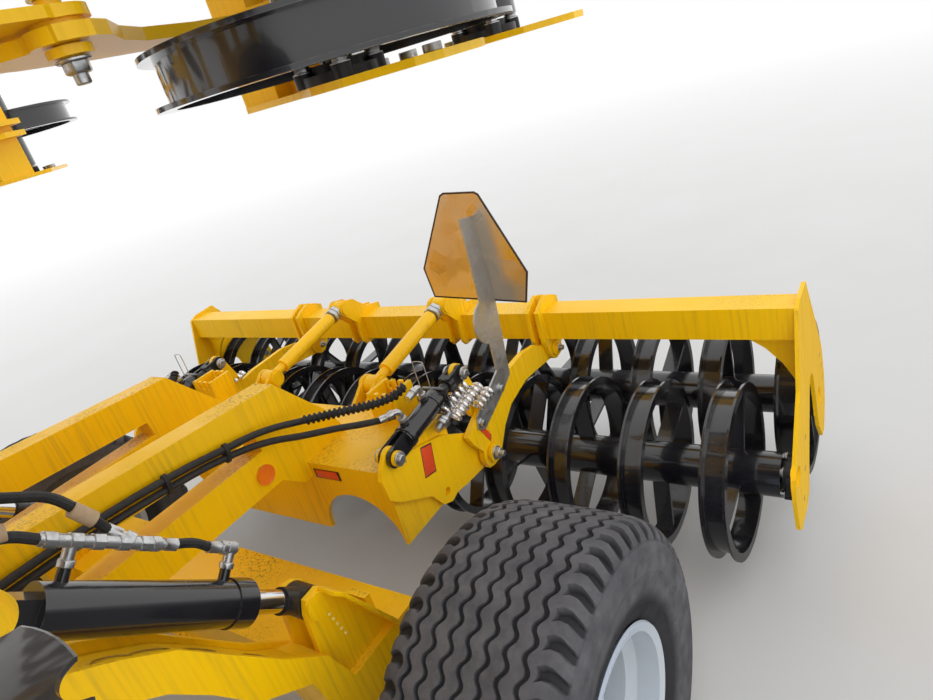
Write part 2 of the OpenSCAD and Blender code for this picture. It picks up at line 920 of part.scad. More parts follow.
// One end of a roller frame: plate with its face at x, gusset below the beam
module frame_end(x, m) {
    side_plate(min(x, x - m * end_t), end_t)
        end_outline();
    cross_plate(beam_c[0] + 8, 16)
        polygon([[x - m * 0.5, beam_c[1] - 40], [x + m * 200, beam_c[1] - 40],
            [x + m * 200, beam_c[1] - 56], [x + m * 150, beam_c[1] - 68],
            [x + m * 98, beam_c[1] - 104], [x + m * 52, beam_c[1] - 155],
            [x + m * 18, beam_c[1] - 215], [x - m * 0.5, beam_c[1] - 236]]);
}

// Clamp plates round the beam on both sides of an arm's rear eye at x
module arm_clamp(x) {
    for (s = [-1, 1])
        side_plate(x + s * (arm_t / 2 + lug_gap + 8) - 8, 16)
            difference() {
                union() {
                    polygon([[1084, 790], [1084, 905], [1122, 925], [1165, 940], [1208, 925],
                        [1246, 905], [1246, 790], [1222, 750], [1188, 716], [1112, 716]]);
                    translate(arm_rear)
                        circle(42);
                }
                translate(arm_rear)
                    circle(pin_r + 3 + pin_gap);
            }
}

// Lower roller arm with its eyes; x is the middle of its thickness
module lower_arm(x) {
    side_plate(x - arm_t / 2, arm_t)
        difference() {
            union() {
                polygon([[590, 655], [600, 582], [650, 576], [684, 594], [741, 656], [807, 698],
                    [926, 721], [1010, 714], [1105, 702], [1140, 697], [1150, 773], [1088, 768],
                    [1045, 798], [951, 816], [855, 812], [770, 809], [640, 786], [560, 752],
                    [538, 738], [556, 700]]);
                translate(arm_pivot)
                    circle(46);
                translate(arm_rear)
                    circle(38);
            }
            translate(arm_pivot)
                circle(pin_r + pin_gap);
        }
}

// Lug on an arm's inner side that takes the rod of its depth cylinder
module arm_lug(x, m) {
    xb = x - m * 24.5;
    side_plate(xb - plate_t / 2, plate_t)
        link2d(depth_rear, [652, 790], 30, 40);
    shaft_x([655, 762], min(xb, x), max(xb, x), 26);
}

module roller_frame_at(x0, x1) {
    block([x0 + 1, beam_c[0] - beam_s / 2, beam_c[1] - beam_s / 2],
        [x1 - 1, beam_c[0] + beam_s / 2, beam_c[1] + beam_s / 2]);
    frame_end(x0 + end_t, 1);
    frame_end(x1 - end_t, -1);
    for (p = [front_axis, rear_axis]) {
        bearing(p, x0 + end_t, 1);
        bearing(p, x1 - end_t, -1);
    }
}

module roller_arms() {
    color(yellow)
        placed()
            both_sides() {
                lower_arm(arm_x);
                arm_lug(arm_x, 1);
                shaft_x(arm_rear, arm_x - 46, arm_x + 46, pin_r + 3);
                for (s = [-1, 1])
                    shaft_x(arm_rear, arm_x + s * 34 - 4, arm_x + s * 34 + 4, 30);
            }
}

module sign_bracket() {
    color(zinc)
        placed()
            side_plate(arm_x + arm_t / 2, 6)
                union() {
                    polygon([[590, 735], [625, 716], [770, 768], [836, 800], [sign_y, 1080],
                        [sign_y, 1345], [sign_y - 76, 1360], [770, 850], [600, 775]]);
                    translate([790, 1020])
                        circle(72);
                }
}

module sign_plate() {
    color(zinc)
        placed()
            translate([arm_x - 34, sign_y + 3, 1243])
                rotate([90, 5, 0])
                    linear_extrude(3)
                        polygon([[-195, -75], [-175, -178], [175, -178], [195, -75],
                            [70, 170], [56, 178], [-56, 178], [-70, 170]]);
}

module top_links() {
    color(yellow)
        placed()
            both_sides()
                aim_side(link_x, link_front, link_rear) {
                    len = norm(link_rear - link_front);
                    difference() {
                        union() {
                            translate([20, 0, 0])
                                rotate([0, 90, 0])
                                    cylinder(h = len - 40, r = 17);
                            translate([75, 0, 0])
                                rotate([0, 90, 0])
                                    cylinder(h = len - 150, r = 27);
                            translate([0, 20, 0])
                                rotate([90, 0, 0])
                                    cylinder(h = 40, r = 32);
                        }
                        translate([0, 25, 0])
                            rotate([90, 0, 0])
                                cylinder(h = 50, r = pin_r + pin_gap);
                    }
                    translate([len, 20, 0])
                        rotate([90, 0, 0])
                            cylinder(h = 40, r = 32);
                    translate([len, 21, 0])
                        rotate([90, 0, 0])
                            cylinder(h = 42, r = pin_r);
                }
}

depth_len = norm(depth_rear - depth_front);
depth_end = depth_len - 113.8;

// Depth cylinder barrel with its fork on the bracket plate; x is the arm's middle
module depth_barrel(x, m) {
    aim_side(x - m * 24.5, depth_front, depth_rear) {
        difference() {
            union() {
                for (s = [-1, 1])
                    translate([0, s * 14.5 + 5, 0])
                        rotate([90, 0, 0])
                            linear_extrude(10)
                                union() {
                                    circle(28);
                                    translate([0, -28])
                                        square([90, 56]);
                                }
                translate([72, 0, 0])
                    rotate([0, 90, 0])
                        cylinder(h = depth_end - 72, r = depth_r);
                translate([depth_end - 40, 0, 0])
                    rotate([0, 90, 0])
                        cylinder(h = 40, r = depth_r + 3);
                for (k = [100, depth_end - 56])
                    translate([k, 0, 0])
                        cylinder(h = depth_r + 18, r = 10);
            }
            translate([0, 25, 0])
                rotate([90, 0, 0])
                    cylinder(h = 50, r = 14 + pin_gap);
            translate([110, 0, 0])
                rotate([0, 90, 0])
                    cylinder(h = 200, r = 16.3);
        }
    }
}

module depth_rod(x, m) {
    aim_side(x - m * 24.5, depth_front, depth_rear) {
        translate([140, 0, 0])
            rotate([0, 90, 0])
                cylinder(h = depth_len - 196, r = 16);
        translate([depth_len - 66, 0, 0])
            rotate([0, 90, 0])
                cylinder(h = 24, r = 24);
        for (s = [-1, 1]) {
            translate([depth_len, s * 14.5 + 5, 0])
                rotate([90, 0, 0])
                    linear_extrude(10)
                        union() {
                            circle(27);
                            translate([-60, -24])
                                square([60, 48]);
                        }
            translate([depth_len, s * 23 + 4, 0])
                rotate([90, 0, 0])
                    cylinder(h = 8, r = 19);
        }
        translate([depth_len - 62, -19.5, -24])
            cube([20, 39, 48]);
    }
}

module depth_barrels() {
    color(black)
        placed()
            both_sides()
                depth_barrel(arm_x, 1);
}

module depth_rods() {
    color(chrome)
        placed()
            both_sides()
                depth_rod(arm_x, 1);
}

module roller_frame() {
    color(yellow)
        placed()
            both_sides() {
                block([0, beam_c[0] - beam_s / 2, beam_c[1] - beam_s / 2],
                    [frame_half - 1, beam_c[0] + beam_s / 2, beam_c[1] + beam_s / 2]);
                frame_end(frame_half - end_t, -1);
                for (p = [front_axis, rear_axis])
                    bearing(p, frame_half - end_t, -1);
                arm_clamp(arm_x);
                for (s = [-1, 1])
                    side_plate(link_x + s * (20 + lug_gap + 6) - 6, 12)
                        union() {
                            translate(link_rear)
                                circle(34);
                            polygon([[1084, 790], [1084, 880], link_rear + [-20, -26],
                                link_rear + [0, 34], [1100, 985], [1165, 925], [1246, 905],
                                [1246, 790], [1230, 770], [1100, 770]]);
                        }
                open_heads(link_x, 33, link_rear, 27);
            }
}

module roller_front() {
    color(black)
        placed()
            roller(front_axis, -frame_half + end_t + bearing_t + 3, frame_half - end_t - bearing_t - 3,
                -(rear_rings - 1) / 2 * ring_pitch, rear_rings, ring_pitch, 47);
}

module roller_rear() {
    color(black)
        placed()
            roller(rear_axis, -frame_half + end_t + bearing_t + 3, frame_half - end_t - bearing_t - 3,
                -rear_rings / 2 * ring_pitch, rear_rings + 1, ring_pitch, 71);
}

// Everything of a wing's frame, drawn as it lies at work; row is the place of its folding lug
module wing_frame(row) {
    for (y = cross_rows)
        block([1000, y - cross_s / 2, cross_z - cross_s / 2],
            [3000, y + cross_s / 2, cross_z + cross_s / 2]);
    for (x = [1000, 2210])
        block([x, cross_rows[1] - 58, cross_z + cross_s / 2 - 2],
            [x + 70, cross_rows[0] + 58, lower_top]);
    for (y = hinge_rows)
        difference() {
            union() {
                cross_plate(y + hinge_arm_t / 2, hinge_arm_t)
                    polygon([hinge + [0, 48], [760, 962], [1002, lower_top - 2], [1002, 864],
                        [760, 828], hinge + [0, -48]]);
                shaft_y(hinge, y - hinge_arm_t / 2, y + hinge_arm_t / 2, 48);
            }
            shaft_y(hinge, y - 60, y + 60, 25 + pin_gap);
        }
    block([705, hinge_rows[1], 846], [795, hinge_rows[0], 940]);
    for (s = [-1, 1])
        cross_plate(row + s * (25 + lug_gap + plate_t / 2) + plate_t / 2, plate_t)
            link2d([750, 905], hinge + fold_lug, 55, 36);
    for (s = [-1, 1])
        shaft_y(hinge + fold_lug, row + s * (25 + lug_gap + plate_t + 4) - 4,
            row + s * (25 + lug_gap + plate_t + 4) + 4, 28);
    for (k = [0, 1]) {
        x = wing_arms[k];
        m = wing_arm_side[k];
        block([min(x - m * 97, x - m * 17), cross_rows[0] + 58, 744],
            [max(x - m * 97, x - m * 17), -640, 838]);
        translate([0, wing_shift, 0])
            arm_bracket(x, m);
    }
}

// Wing roller frame: arms fixed to the beam, hinged at their front ends
module wing_roller_set() {
    x1 = wing_in + 2 * wing_half;
    translate([0, wing_shift, 0]) {
        roller_frame_at(wing_in, x1);
        for (k = [0, 1]) {
            lower_arm(wing_arms[k]);
            arm_lug(wing_arms[k], wing_arm_side[k]);
            for (s = [-1, 1])
                side_plate(wing_arms[k] + s * 18 - 8, 16)
                    polygon([[1084, 790], [1084, 905], [1122, 925], [1165, 940], [1208, 925],
                        [1246, 905], [1246, 790], [1222, 750], [1188, 716], [1112, 716]]);
        }
    }
}

module wing_roller(axis, first, twist) {
    translate([0, wing_shift, 0])
        roller(axis, wing_in + end_t + bearing_t + 3,
            wing_in + 2 * wing_half - end_t - bearing_t - 3, first, wing_rings, wing_pitch, twist);
}

module fold_barrel(row) {
    aim_rear(row, fold_anchor, [hinge[0] - fold_lug[1], hinge[1] + fold_lug[0]])
        cyl_barrel(540, fold_r, 22, 36, 50, pin_r + pin_gap);
}

fold_len = norm([hinge[0] - fold_lug[1], hinge[1] + fold_lug[0]] - fold_anchor);

module fold_rod(row) {
    aim_rear(row, fold_anchor, [hinge[0] - fold_lug[1], hinge[1] + fold_lug[0]])
        cyl_rod(112, fold_len, 22, 34, 50, pin_r, 52);
}

module wing_frame_right() {
    color(yellow)
        placed()
            wing_place(1)
                wing_frame(fold_rows[0]);
}

module wing_frame_left() {
    color(yellow)
        placed()
            wing_place(-1)
                wing_frame(fold_rows[1]);
}

module wing_disc_arms_right() {
    color(yellow)
        placed()
            wing_place(1)
                disc_arm_set(8, 1000 + disc_pitch / 2, 1);
}

module wing_disc_arms_left() {
    color(yellow)
        placed()
            wing_place(-1)
                disc_arm_set(8, 1000 + disc_pitch / 2, -1);
}

module wing_discs_right() {
    color(steel)
        placed()
            wing_place(1)
                disc_set(8, 1000 + disc_pitch / 2, 1);
}

module wing_discs_left() {
    color(steel)
        placed()
            wing_place(-1)
                disc_set(8, 1000 + disc_pitch / 2, -1);
}

module fold_barrel_right() {
    color(black)
        placed()
            fold_barrel(fold_rows[0]);
}

module fold_barrel_left() {
    color(black)
        placed()
            mirror([1, 0, 0])
                fold_barrel(fold_rows[1]);
}

module fold_rod_right() {
    color(chrome)
        placed()
            fold_rod(fold_rows[0]);
}

module fold_rod_left() {
    color(chrome)
        placed()
            mirror([1, 0, 0])
                fold_rod(fold_rows[1]);
}

module wing_roller_frame_right() {
    color(yellow)
        placed()
            wing_place(1)
                wing_roller_set();
}

module wing_roller_frame_left() {
    color(yellow)
        placed()
            wing_place(-1)
                wing_roller_set();
}

module wing_roller_front_right() {
    color(black)
        placed()
            wing_place(1)
                wing_roller(front_axis, wing_first_ring, 53);
}

module wing_roller_front_left() {
    color(black)
        placed()
            wing_place(-1)
                wing_roller(front_axis, wing_first_ring, 53);
}

module wing_roller_rear_right() {
    color(black)
        placed()
            wing_place(1)
                wing_roller(rear_axis, wing_first_ring + ring_pitch / 2, 67);
}

module wing_roller_rear_left() {
    color(black)
        placed()
            wing_place(-1)
                wing_roller(rear_axis, wing_first_ring + ring_pitch / 2, 67);
}

module wing_depth_barrels_right() {
    color(black)
        placed()
            wing_place(1)
                translate([0, wing_shift, 0])
                    for (k = [0, 1])
                        depth_barrel(wing_arms[k], wing_arm_side[k]);
}

module wing_depth_barrels_left() {
    color(black)
        placed()
            wing_place(-1)
                translate([0, wing_shift, 0])
                    for (k = [0, 1])
                        depth_barrel(wing_arms[k], wing_arm_side[k]);
}

module wing_depth_rods_right() {
    color(chrome)
        placed()
            wing_place(1)
                translate([0, wing_shift, 0])
                    for (k = [0, 1])
                        depth_rod(wing_arms[k], wing_arm_side[k]);
}

module wing_depth_rods_left() {
    color(chrome)
        placed()
            wing_place(-1)
                translate([0, wing_shift, 0])
                    for (k = [0, 1])
                        depth_rod(wing_arms[k], wing_arm_side[k]);
}

main_frame();
frame_brackets();
centre_disc_arms();
centre_discs();
drawbar();
tow_eye();
drawbar_barrel();
drawbar_rod();
jack_tube();
jack_leg();
axle_arms();
tyre_right();
rim_right();
tyre_left();
rim_left();
lift_barrels();
lift_rods();
wing_frame_right();
wing_disc_arms_right();
wing_discs_right();
wing_frame_left();
wing_disc_arms_left();
wing_discs_left();
fold_barrel_right();
fold_rod_right();
fold_barrel_left();
fold_rod_left();
wing_roller_frame_right();
wing_roller_front_right();
wing_roller_rear_right();
wing_roller_frame_left();
wing_roller_front_left();
wing_roller_rear_left();
wing_depth_barrels_right();
wing_depth_rods_right();
wing_depth_barrels_left();
wing_depth_rods_left();
roller_arms();
sign_bracket();
sign_plate();
top_links();
depth_barrels();
depth_rods();
roller_frame();
roller_front();
roller_rear();
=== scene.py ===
import math

import bpy
import numpy as np
from bpy.props import (
    FloatProperty,
    FloatVectorProperty,
    IntProperty,
    PointerProperty,
)
from bpy.types import Operator, Panel, PropertyGroup
from mathutils import Matrix, Vector


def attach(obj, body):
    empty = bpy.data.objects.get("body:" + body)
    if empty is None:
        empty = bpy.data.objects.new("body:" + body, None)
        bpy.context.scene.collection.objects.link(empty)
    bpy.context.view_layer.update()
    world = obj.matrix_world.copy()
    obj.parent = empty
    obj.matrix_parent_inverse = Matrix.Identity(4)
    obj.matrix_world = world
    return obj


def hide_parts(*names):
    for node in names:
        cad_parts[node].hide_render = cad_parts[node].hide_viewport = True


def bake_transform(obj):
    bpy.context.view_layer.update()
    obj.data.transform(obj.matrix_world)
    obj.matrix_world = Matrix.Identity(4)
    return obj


bl_info = {
    "name": "Folding disc harrow dressing",
    "version": (1, 0, 0),
    "blender": (4, 5, 0),
    "location": "View3D > Sidebar > Harrow",
    "description": "Finishes, tyres, bolts, hoses and fittings of a folded trailed disc harrow",
    "category": "Object",
}

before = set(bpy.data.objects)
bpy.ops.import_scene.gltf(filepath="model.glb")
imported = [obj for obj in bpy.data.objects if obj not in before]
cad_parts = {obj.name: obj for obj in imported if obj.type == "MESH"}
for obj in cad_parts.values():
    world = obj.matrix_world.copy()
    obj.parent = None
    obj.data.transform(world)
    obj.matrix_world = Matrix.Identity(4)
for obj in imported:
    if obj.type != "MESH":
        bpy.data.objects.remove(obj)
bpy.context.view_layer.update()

# Places are written in metres from the wheel axle, as the part's source writes them
# in millimetres: X across, Y = 0 under the wheels and growing rearwards, Z up.
AXLE_SHIFT = 1.3275
MACHINE = Matrix.Translation((0.0, AXLE_SHIFT, 0.0))
MIRROR = Matrix.Scale(-1.0, 4, (1.0, 0.0, 0.0))
HINGE = Matrix.Translation((0.610, 0.0, 0.890))
FOLD = HINGE @ Matrix.Rotation(math.radians(-90), 4, "Y") @ HINGE.inverted()
SIDES = (("right", 1), ("left", -1))

# Sizes shared with the part's source
TYRE_R = 0.437
WHEEL_X = 1.120
RIM_NUT_R = 0.102
FRAME_HALF = 1.500
END_T = 0.012
AXES = ((0.920, 0.432), (1.380, 0.432))
BEARING_T = 0.020
BEARING_BOLT_R = 0.056
WING_SHIFT = -0.908
WING_IN = 1.525
WING_OUT = 2.985
PLATE_HOLES = ((0.985, 0.300), (1.030, 0.380), (1.070, 0.470),
               (1.440, 0.560), (1.465, 0.505), (1.478, 0.450))
CROSS_ROWS = (-1.170, -2.020)
CROSS_Z = 0.800
DISC_PITCH = 0.250
DISC_ANGLE = math.radians(17)
DISC_DROP = -0.430
HUB_BACK = 0.170
ARM_PIVOT_NUT = (0.6565, 0.632, 0.622)
WING_PIVOTS = ((1.680, -1), (2.845, 1))
CLAMP_PIN = (1.150, 0.735)
DEPTH_X = 0.6075
DEPTH_FRONT = (0.240, 0.877)
DEPTH_REAR = (0.612, 0.930)
DEPTH_PORTS = (0.100, 0.206)
AXLE_X = 0.660
LIFT_FRONT = (-0.680, 1.262)
LIFT_EYE = (-0.200, 0.806)
FOLD_ROWS = (-1.500, -1.690)
FOLD_ANCHOR = (-0.265, 1.062)
FOLD_EYE = (0.360, 1.040)
DRAW_FOOT = (0.0, -2.050, 1.120)
DRAW_EYE = (0.0, -2.780, 0.820)
LINK_X = 0.267
LINK_FRONT = (0.590, 0.886)
LINK_REAR = (1.045, 0.965)

# Ways along the cylinders, from foot to eye, and square to them
DEPTH_WAY, DEPTH_UP = (0.0, 0.990, 0.141), (0.0, -0.141, 0.990)
LIFT_WAY, LIFT_UP = (0.0, 0.725, -0.689), (0.0, 0.689, 0.725)
FOLD_WAY, FOLD_UP = (0.9994, 0.0, -0.035), (0.035, 0.0, 0.9994)
DRAW_WAY, DRAW_UP = (0.0, -0.925, -0.380), (0.0, -0.380, 0.925)

# How far the end plates' bolts stand off their seats
SEAT_GAP = 0.0005


def place_of(side=1, wing=False):
    """Matrix from machine metres to the row frame, for one side and, on a wing, folded up."""
    matrix = MACHINE if side > 0 else MACHINE @ MIRROR
    return matrix @ FOLD if wing else matrix


def standing(place, direction, roll=0.0):
    """Matrix that stands a piece's Z axis on a place, along a direction."""
    turn = Vector((0, 0, 1)).rotation_difference(Vector(direction).normalized())
    return Matrix.Translation(place) @ turn.to_matrix().to_4x4() @ Matrix.Rotation(roll, 4, "Z")


def across_side(x, point):
    """A point of a side view, given as (Y, Z), on the plane X = x."""
    return Vector((x, point[0], point[1]))


def along(start, end, run, off=0.0):
    """The (Y, Z) point at run metres from start towards end, off metres to its upper side."""
    start, end = Vector(start), Vector(end)
    way = (end - start).normalized()
    return start + way * run + Vector((-way.y, way.x)) * off


def facing(place, out, up):
    """Matrix that puts a piece on a place with its X along out and its Z along up."""
    return Matrix.Translation(place) @ Matrix((out, up.cross(out), up)).transposed().to_4x4()


# Modelling by hand


def deselect():
    if bpy.context.object is not None and bpy.context.object.mode != "OBJECT":
        bpy.ops.object.mode_set(mode="OBJECT")
    bpy.ops.object.select_all(action="DESELECT")


def only(piece):
    deselect()
    piece.select_set(True)
    bpy.context.view_layer.objects.active = piece


def added(operator, name, **values):
    """What one of Blender's add operators makes, with a name of its own."""
    deselect()
    operator(**values)
    bpy.context.object.name = name
    return bpy.context.object


def applied():
    bpy.ops.object.transform_apply(location=True, rotation=True, scale=True)


def cylinder(radius, depth, base=0.0, sides=24):
    """A cylinder on the Z axis that stands on base."""
    piece = added(bpy.ops.mesh.primitive_cylinder_add, "cylinder", vertices=sides, radius=radius,
                  depth=depth, location=(0, 0, base + depth / 2))
    applied()
    return piece


def box(low, high):
    low, high = Vector(low), Vector(high)
    piece = added(bpy.ops.mesh.primitive_cube_add, "box", size=1.0, location=(low + high) / 2)
    piece.scale = high - low
    applied()
    return piece


def pick_faces(piece, test):
    """Opens the piece in edit mode with the faces selected that pass the test."""
    only(piece)
    bpy.ops.object.mode_set(mode="EDIT")
    bpy.ops.mesh.select_mode(type="FACE")
    bpy.ops.mesh.select_all(action="DESELECT")
    bpy.ops.object.mode_set(mode="OBJECT")
    for face in piece.data.polygons:
        face.select = bool(test(face.center, face.normal))
    bpy.ops.object.mode_set(mode="EDIT")


def leave_edit():
    bpy.ops.object.mode_set(mode="OBJECT")


def inset(piece, test, amount, depth=0.0):
    pick_faces(piece, test)
    bpy.ops.mesh.inset(thickness=amount, depth=depth)
    leave_edit()


def rounded(piece, width, segments=2, angle=30):
    """Bevels the piece's sharp edges with an applied modifier."""
    only(piece)
    edges = piece.modifiers.new("edges", "BEVEL")
    edges.width = width
    edges.segments = segments
    edges.limit_method = "ANGLE"
    edges.angle_limit = math.radians(angle)
    bpy.ops.object.modifier_apply(modifier=edges.name)
    return piece


def moved(piece, matrix):
    piece.data.transform(matrix)
    if matrix.determinant() < 0:
        piece.data.flip_normals()
    piece.data.update()
    return piece


def copied(master, matrix):
    """A copy of the master with its own mesh, put in its place."""
    piece = master.copy()
    piece.data = master.data.copy()
    bpy.context.scene.collection.objects.link(piece)
    return moved(piece, matrix)


def joined(pieces, name):
    deselect()
    for piece in pieces:
        piece.select_set(True)
    bpy.context.view_layer.objects.active = pieces[0]
    if len(pieces) > 1:
        bpy.ops.object.join()
    piece = bpy.context.object
    piece.name = name
    piece.data.name = name
    return piece


def painted(piece, material):
    piece.data.materials.clear()
    piece.data.materials.append(material)
    return piece


def finished(piece, name, body, look, smooth=32):
    """Names a piece, smooths it, gives it its finish and lets it ride on its body; a piece given
    two bodies rides on neither and stays where it is.
    """
    only(piece)
    applied()
    bpy.ops.object.shade_smooth_by_angle(angle=math.radians(smooth))
    piece.name = name
    piece.data.name = name
    painted(piece, finish(look))
    if isinstance(body, str):
        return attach(piece, body)
    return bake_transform(piece)


def between_bodies(first, second, home, start, end):
    """The two bodies of a hose that crosses a joint, and where its bend starts and ends; nothing
    attaches the hose to them or bends it.
    """
    return first, second, tuple(home @ Vector(start)), tuple(home @ Vector(end))


def spread(master, places, name, body, look):
    """Copies the master to all places, joins the copies and finishes them as one piece."""
    piece = joined([copied(master, matrix) for matrix in places], name)
    return finished(piece, name, body, look)


def both(*matrices):
    """Matrices given on the right side, for both sides of the machine."""
    return [place_of(side) @ matrix for _, side in SIDES for matrix in matrices]


def discard(*masters):
    for master in masters:
        bpy.data.objects.remove(master)


def outline_plate(name, points, thickness, round_by=0.0):
    """A plate cut to an outline: points are (across, up), thickness along -Z of the plate."""
    piece = added(bpy.ops.mesh.primitive_circle_add, name, vertices=len(points), radius=1.0,
                  fill_type="NGON")
    for vertex, point in zip(piece.data.vertices, points):
        vertex.co = (point[0], point[1], 0.0)
    bpy.ops.object.mode_set(mode="EDIT")
    bpy.ops.mesh.select_all(action="SELECT")
    bpy.ops.mesh.normals_make_consistent(inside=False)
    bpy.ops.mesh.extrude_region_move(TRANSFORM_OT_translate={"value": (0, 0, -thickness)})
    bpy.ops.mesh.select_all(action="SELECT")
    bpy.ops.mesh.normals_make_consistent(inside=False)
    leave_edit()
    if round_by:
        rounded(piece, round_by)
    return piece


def side_matrix(x):
    """Puts a plate's (across, up) on (Y, Z) with its face towards +X at x."""
    return Matrix(((0, 0, 1, x), (1, 0, 0, 0), (0, 1, 0, 0), (0, 0, 0, 1)))


def tube(points, radius, sides=10, cyclic=False):
    """A bent tube through points, made from a curve and turned into a mesh."""
    line = added(bpy.ops.curve.primitive_bezier_curve_add, "tube")
    line.data.dimensions = "3D"
    spline = line.data.splines[0]
    spline.bezier_points.add(len(points) - 2)
    for knot, place in zip(spline.bezier_points, points):
        knot.co = place
        knot.handle_left_type = "AUTO"
        knot.handle_right_type = "AUTO"
    spline.use_cyclic_u = cyclic
    line.data.resolution_u = 8
    line.data.bevel_depth = radius
    line.data.bevel_resolution = max(1, sides // 2 - 2)
    line.data.use_fill_caps = not cyclic
    bpy.ops.object.convert(target="MESH")
    return bpy.context.object


def hex_bolt(radius, washer=True, thread=0.0):
    """Hexagon head on a washer, its seat at the origin, the head along +Z."""
    seat = radius * 0.24 if washer else 0.0
    head = cylinder(radius, radius * 0.72, seat, 6)
    inset(head, lambda c, n: n.z > 0.9, radius * 0.14, radius * 0.1)
    parts = [rounded(head, radius * 0.05, 1)]
    if washer:
        parts.append(rounded(cylinder(radius * 1.28, seat, 0.0, 20), radius * 0.06, 1))
    if thread:
        shank = cylinder(radius * 0.56, thread, seat + radius * 0.6, 12)
        inset(shank, lambda c, n: n.z > 0.9, radius * 0.1, radius * 0.08)
        parts.append(shank)
    return joined(parts, "bolt")


def pin_end(radius):
    """Chamfered pin head with its split pin, its seat at the origin."""
    head = cylinder(radius, radius * 0.3, 0.0, 28)
    rounded(head, radius * 0.07, 2)
    stub = cylinder(radius * 0.6, radius * 0.62, 0.0, 20)
    inset(stub, lambda c, n: n.z > 0.9, radius * 0.1, radius * 0.07)
    split = tube([(radius * x, 0.004 * y, radius * z) for x, y, z in
                  ((-0.95, 0.6, 0.36), (-0.5, 0, 0.44), (0.5, 0, 0.44), (0.8, 0.8, 0.52),
                   (0.98, 0, 0.46))], radius * 0.07, 6)
    return joined([head, stub, split], "pin_end")


# Node groups shared by the finishes


class Nodes:
    """Adds nodes to one node tree and links what they are given."""

    def __init__(self, tree):
        self.tree = tree

    def add(self, kind, values=None, **settings):
        node = self.tree.nodes.new(kind)
        for name, value in settings.items():
            setattr(node, name, value)
        for socket, value in (values or {}).items():
            if isinstance(value, bpy.types.NodeSocket):
                self.tree.links.new(value, node.inputs[socket])
            else:
                node.inputs[socket].default_value = value
        return node

    def math(self, operation, a, b=0.0, clamp=False):
        node = self.add("ShaderNodeMath", {0: a, 1: b}, operation=operation, use_clamp=clamp)
        return node.outputs[0]

    def times(self, a, b, clamp=False):
        return self.math("MULTIPLY", a, b, clamp)

    def plus(self, a, b, clamp=False):
        return self.math("ADD", a, b, clamp)

    def mix(self, share, a, b):
        return self.add("ShaderNodeMix", {0: share, 6: a, 7: b}, data_type="RGBA").outputs[2]

    def between(self, value, low, high, to_low=0.0, to_high=1.0):
        values = {0: value, 1: low, 2: high, 3: to_low, 4: to_high}
        return self.add("ShaderNodeMapRange", values, clamp=True).outputs[0]

    def noise(self, vector, scale, detail=3.0, roughness=0.55):
        values = {"Vector": vector, "Scale": scale, "Detail": detail, "Roughness": roughness}
        return self.add("ShaderNodeTexNoise", values).outputs[0]

    def stretched(self, vector, scale):
        return self.add("ShaderNodeMapping", {"Vector": vector, "Scale": scale}).outputs[0]

    def up(self, vector):
        return self.add("ShaderNodeSeparateXYZ", {0: vector}).outputs[2]

    def shared(self, name, **values):
        """One of the shared node groups, with this finish's own values."""
        return self.add("ShaderNodeGroup", values, node_tree=shared_group(name)).outputs


def new_group(name, inputs, outputs):
    tree = bpy.data.node_groups.new(name, "ShaderNodeTree")
    for label, kind, default in inputs:
        socket = tree.interface.new_socket(label, in_out="INPUT", socket_type=kind)
        if default is not None:
            socket.default_value = default
    for label, kind in outputs:
        tree.interface.new_socket(label, in_out="OUTPUT", socket_type=kind)
    nodes = Nodes(tree)
    return tree, nodes, nodes.add("NodeGroupInput").outputs, nodes.add("NodeGroupOutput").inputs


NUMBER = "NodeSocketFloat"
PLACE = "NodeSocketVector"


def edge_wear_and_highlight_group():
    """Mask of the edges of a piece, broken up by noise; the finishes lighten these edges as rubbed
    wear and as painted edge highlight.
    """
    tree, n, given, made = new_group(
        "edge_wear_and_highlight", [("Place", PLACE, None), ("Width", NUMBER, 0.004), ("Amount", NUMBER, 1.0)],
        [("Mask", NUMBER)])
    soft = n.add("ShaderNodeBevel", {"Radius": given["Width"]}, samples=4).outputs[0]
    flat = n.add("ShaderNodeNewGeometry").outputs["Normal"]
    facing = n.add("ShaderNodeVectorMath", {0: soft, 1: flat}, operation="DOT_PRODUCT")
    edge = n.between(facing.outputs["Value"], 0.99, 0.86)
    broken = n.between(n.noise(given["Place"], 38.0, 4.0), 0.42, 0.62)
    mask = n.times(n.times(edge, broken), given["Amount"], True)
    tree.links.new(mask, made["Mask"])
    return tree


def settled_dust_group():
    """Mask of what lies on faces that look up: even dust, and speckled moss."""
    tree, n, given, made = new_group(
        "settled_dust", [("Place", PLACE, None), ("Up", PLACE, None), ("Cover", NUMBER, 0.5)],
        [("Dust", NUMBER), ("Moss", NUMBER)])
    up = n.up(given["Up"])
    top = n.between(up, 0.35, 0.95)
    cloud = n.between(n.noise(given["Place"], 6.0, 5.0), 0.38, 0.66)
    fine = n.between(n.noise(given["Place"], 60.0, 3.0), 0.3, 0.8)
    dust = n.times(n.times(top, n.plus(cloud, n.times(fine, 0.5))), given["Cover"], True)
    tree.links.new(dust, made["Dust"])
    patch = n.between(n.noise(given["Place"], 3.1, 4.0), 0.45, 0.62)
    speck = n.between(n.noise(given["Place"], 130.0, 4.0, 0.7), 0.5, 0.62)
    moss = n.times(n.times(n.between(up, 0.7, 0.98), patch), n.times(speck, given["Cover"]), True)
    tree.links.new(moss, made["Moss"])
    return tree


